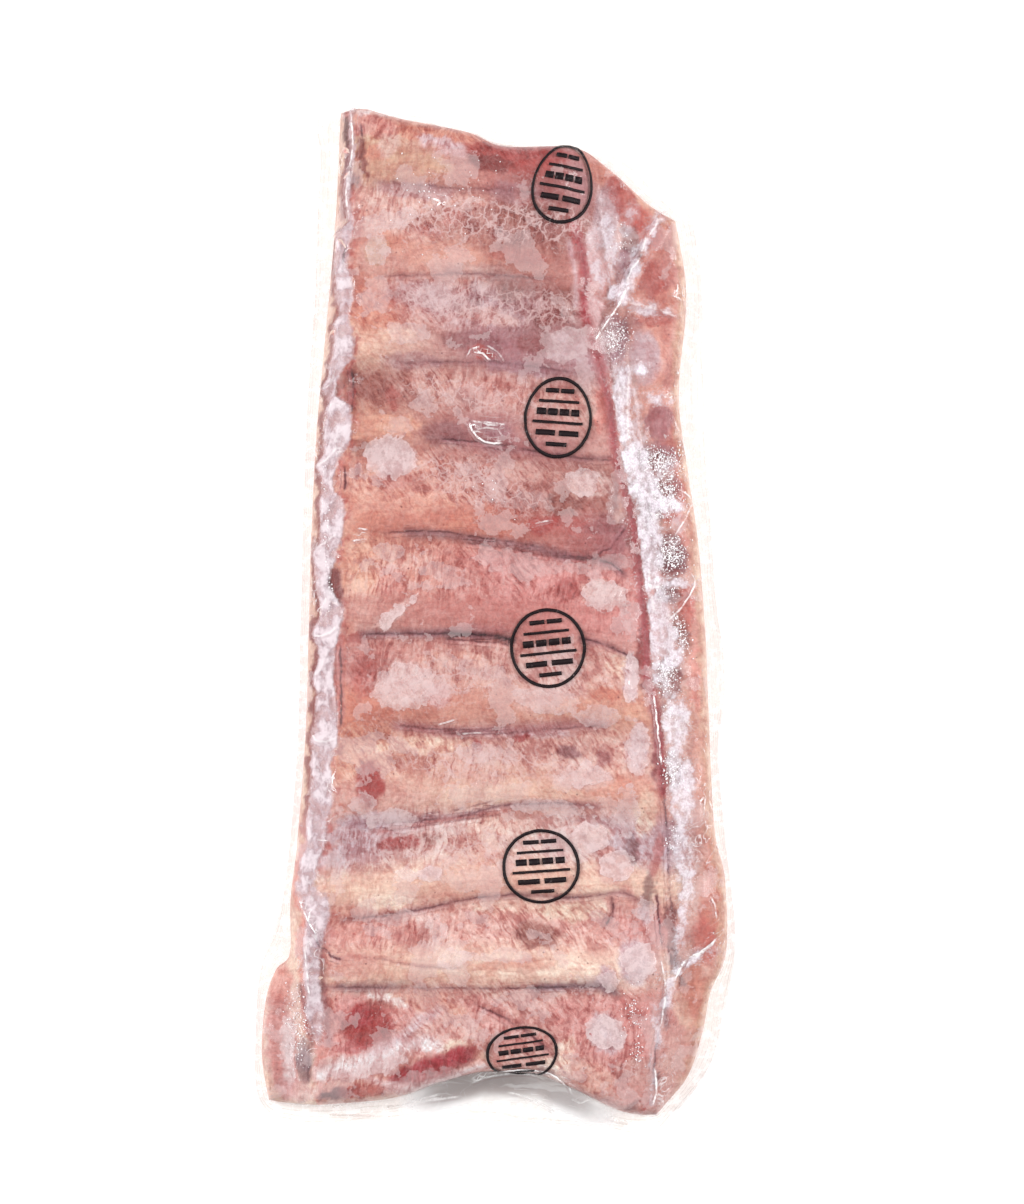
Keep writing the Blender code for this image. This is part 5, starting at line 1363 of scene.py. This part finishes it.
def makeCrystals(film):
    cover = BVHTree.FromPolygons([vert.co for vert in film.data.vertices],
                                 [list(face.vertices) for face in film.data.polygons])
    one = bmesh.new()
    bmesh.ops.create_icosphere(one, subdivisions=1, radius=0.5)
    bmesh.ops.scale(one, vec=(1, 0.75, 0.6), verts=one.verts)
    one.verts.index_update()
    shape = np.array([vert.co[:] for vert in one.verts])
    faces = np.array([[vert.index for vert in face.verts] for face in one.faces])
    one.free()
    draw = np.random.default_rng(crystal["seed"])
    shares = np.array([place[2] * place[3] * place[5] for place in glitter])
    counts = (crystal["count"] * shares / shares.sum()).astype(int)
    places = []
    for (x, y, halfLength, halfWidth, turn, _), count in zip(glitter, counts):
        turned = math.radians(turn)
        for _ in range(count):
            far, angle = 0.62 * math.sqrt(-math.log(1 - draw.random())), draw.random() * 2 * math.pi
            a, b = far * halfLength * math.cos(angle), far * halfWidth * math.sin(angle)
            placeX = x + a * math.cos(turned) - b * math.sin(turned)
            placeY = y + a * math.sin(turned) + b * math.cos(turned)
            hit = cover.ray_cast(Vector((placeX * mm, placeY * mm, 0.1)), Vector((0, 0, -1)))[0]
            size = crystal["smallest"] + (crystal["largest"] - crystal["smallest"]) * draw.random() ** 2
            spin = Euler(draw.random(3) * 6).to_matrix()
            if hit and hit.z > 0.008:
                places.append(shape @ np.array(spin) * size + np.array([placeX, placeY, hit.z / mm - crystal["sink"]]))
    count = len(places)
    work = np.concatenate(places) * mm
    joined = (faces[None] + np.arange(count)[:, None, None] * len(shape)).reshape(-1, 3)
    mesh = bpy.data.meshes.new("ice_crystals")
    mesh.from_pydata(work.tolist(), [], joined.tolist())
    made, tree = newMaterial("ice")
    sparkle = node(tree, "ShaderNodeTexNoise", Vector=inMillimetres(tree), Scale=2.0, Detail=2.0).outputs["Fac"]
    tone = blend(tree, ramp(tree, sparkle, 0.35, 0.6), (*linear((240, 230, 236)), 1), (1, 1, 1, 1))
    shader = node(tree, "ShaderNodeBsdfPrincipled", Base_Color=tone, IOR=1.31,
                  Roughness=node(tree, "ShaderNodeMapRange", i0=sparkle, i3=0.15, i4=0.4).outputs[0])
    node(tree, "ShaderNodeOutputMaterial", Surface=shader.outputs[0])
    mesh.materials.append(made)
    piece = bpy.data.objects.new("ice_crystals", mesh)
    bpy.context.scene.collection.objects.link(piece)
    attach(piece, "root")
    print("crystals ready,", count)


makeStamps(bagPiece, makeInk())
makeCrystals(bagPiece)

# ---- floor, camera and lights

studio = {
    "sheet": 1600, "lens": 85.0, "view": 421.4, "sensor": 36.0, "centre": (5.95, 6.3), "level": 20.0,
    "world": 0.4, "sideBoxes": 12.5, "glints": 0.8,
}


def makeFloor():
    work = bmesh.new()
    bmesh.ops.create_grid(work, x_segments=1, y_segments=1, size=studio["sheet"] * mm)
    mesh = bpy.data.meshes.new("floor")
    work.to_mesh(mesh)
    work.free()
    floor = bpy.data.objects.new("floor", mesh)
    bpy.context.scene.collection.objects.link(floor)
    made, tree = newMaterial("whiteSheet")
    shader = node(tree, "ShaderNodeBsdfPrincipled", Base_Color=(0.9, 0.9, 0.9, 1), Roughness=0.9,
                  Emission_Color=(1, 1, 1, 1), Emission_Strength=0.35)
    node(tree, "ShaderNodeOutputMaterial", Surface=shader.outputs[0])
    mesh.materials.append(made)


def makeCamera():
    lens = bpy.data.cameras.new("camera")
    lens.lens, lens.sensor_width = studio["lens"], studio["sensor"]
    camera = bpy.data.objects.new("camera", lens)
    away = studio["view"] * studio["lens"] / studio["sensor"] + studio["level"]
    camera.location = (studio["centre"][0] * mm, studio["centre"][1] * mm, away * mm)
    bpy.context.scene.collection.objects.link(camera)
    bpy.context.scene.camera = camera


def makeLight(name, place, size, strength):
    light = bpy.data.lights.new(name, "AREA")
    light.shape, light.size, light.size_y = "RECTANGLE", size[0], size[1]
    light.energy = strength
    lamp = bpy.data.objects.new(name, light)
    lamp.location = place
    lamp.rotation_euler = Vector(place).to_track_quat("Z", "Y").to_euler()
    bpy.context.scene.collection.objects.link(lamp)


def makeWorld():
    world = bpy.data.worlds.new("studio")
    world.use_nodes = True
    world.node_tree.nodes["Background"].inputs["Color"].default_value = (1, 1, 1, 1)
    world.node_tree.nodes["Background"].inputs["Strength"].default_value = studio["world"]
    bpy.context.scene.world = world
    bpy.context.scene.view_settings.view_transform = "Standard"


makeFloor()
makeCamera()
makeWorld()
makeLight("leftBox", (-0.95, 0.15, 0.85), (0.7, 1.1), studio["sideBoxes"])
makeLight("rightBox", (0.95, 0.25, 0.85), (0.7, 1.1), studio["sideBoxes"])
makeLight("glintLeft", (-0.5, 0.2, 0.8), (0.06, 0.3), studio["glints"])
makeLight("glintRight", (0.45, 0.35, 0.9), (0.06, 0.3), studio["glints"])
print("studio ready")
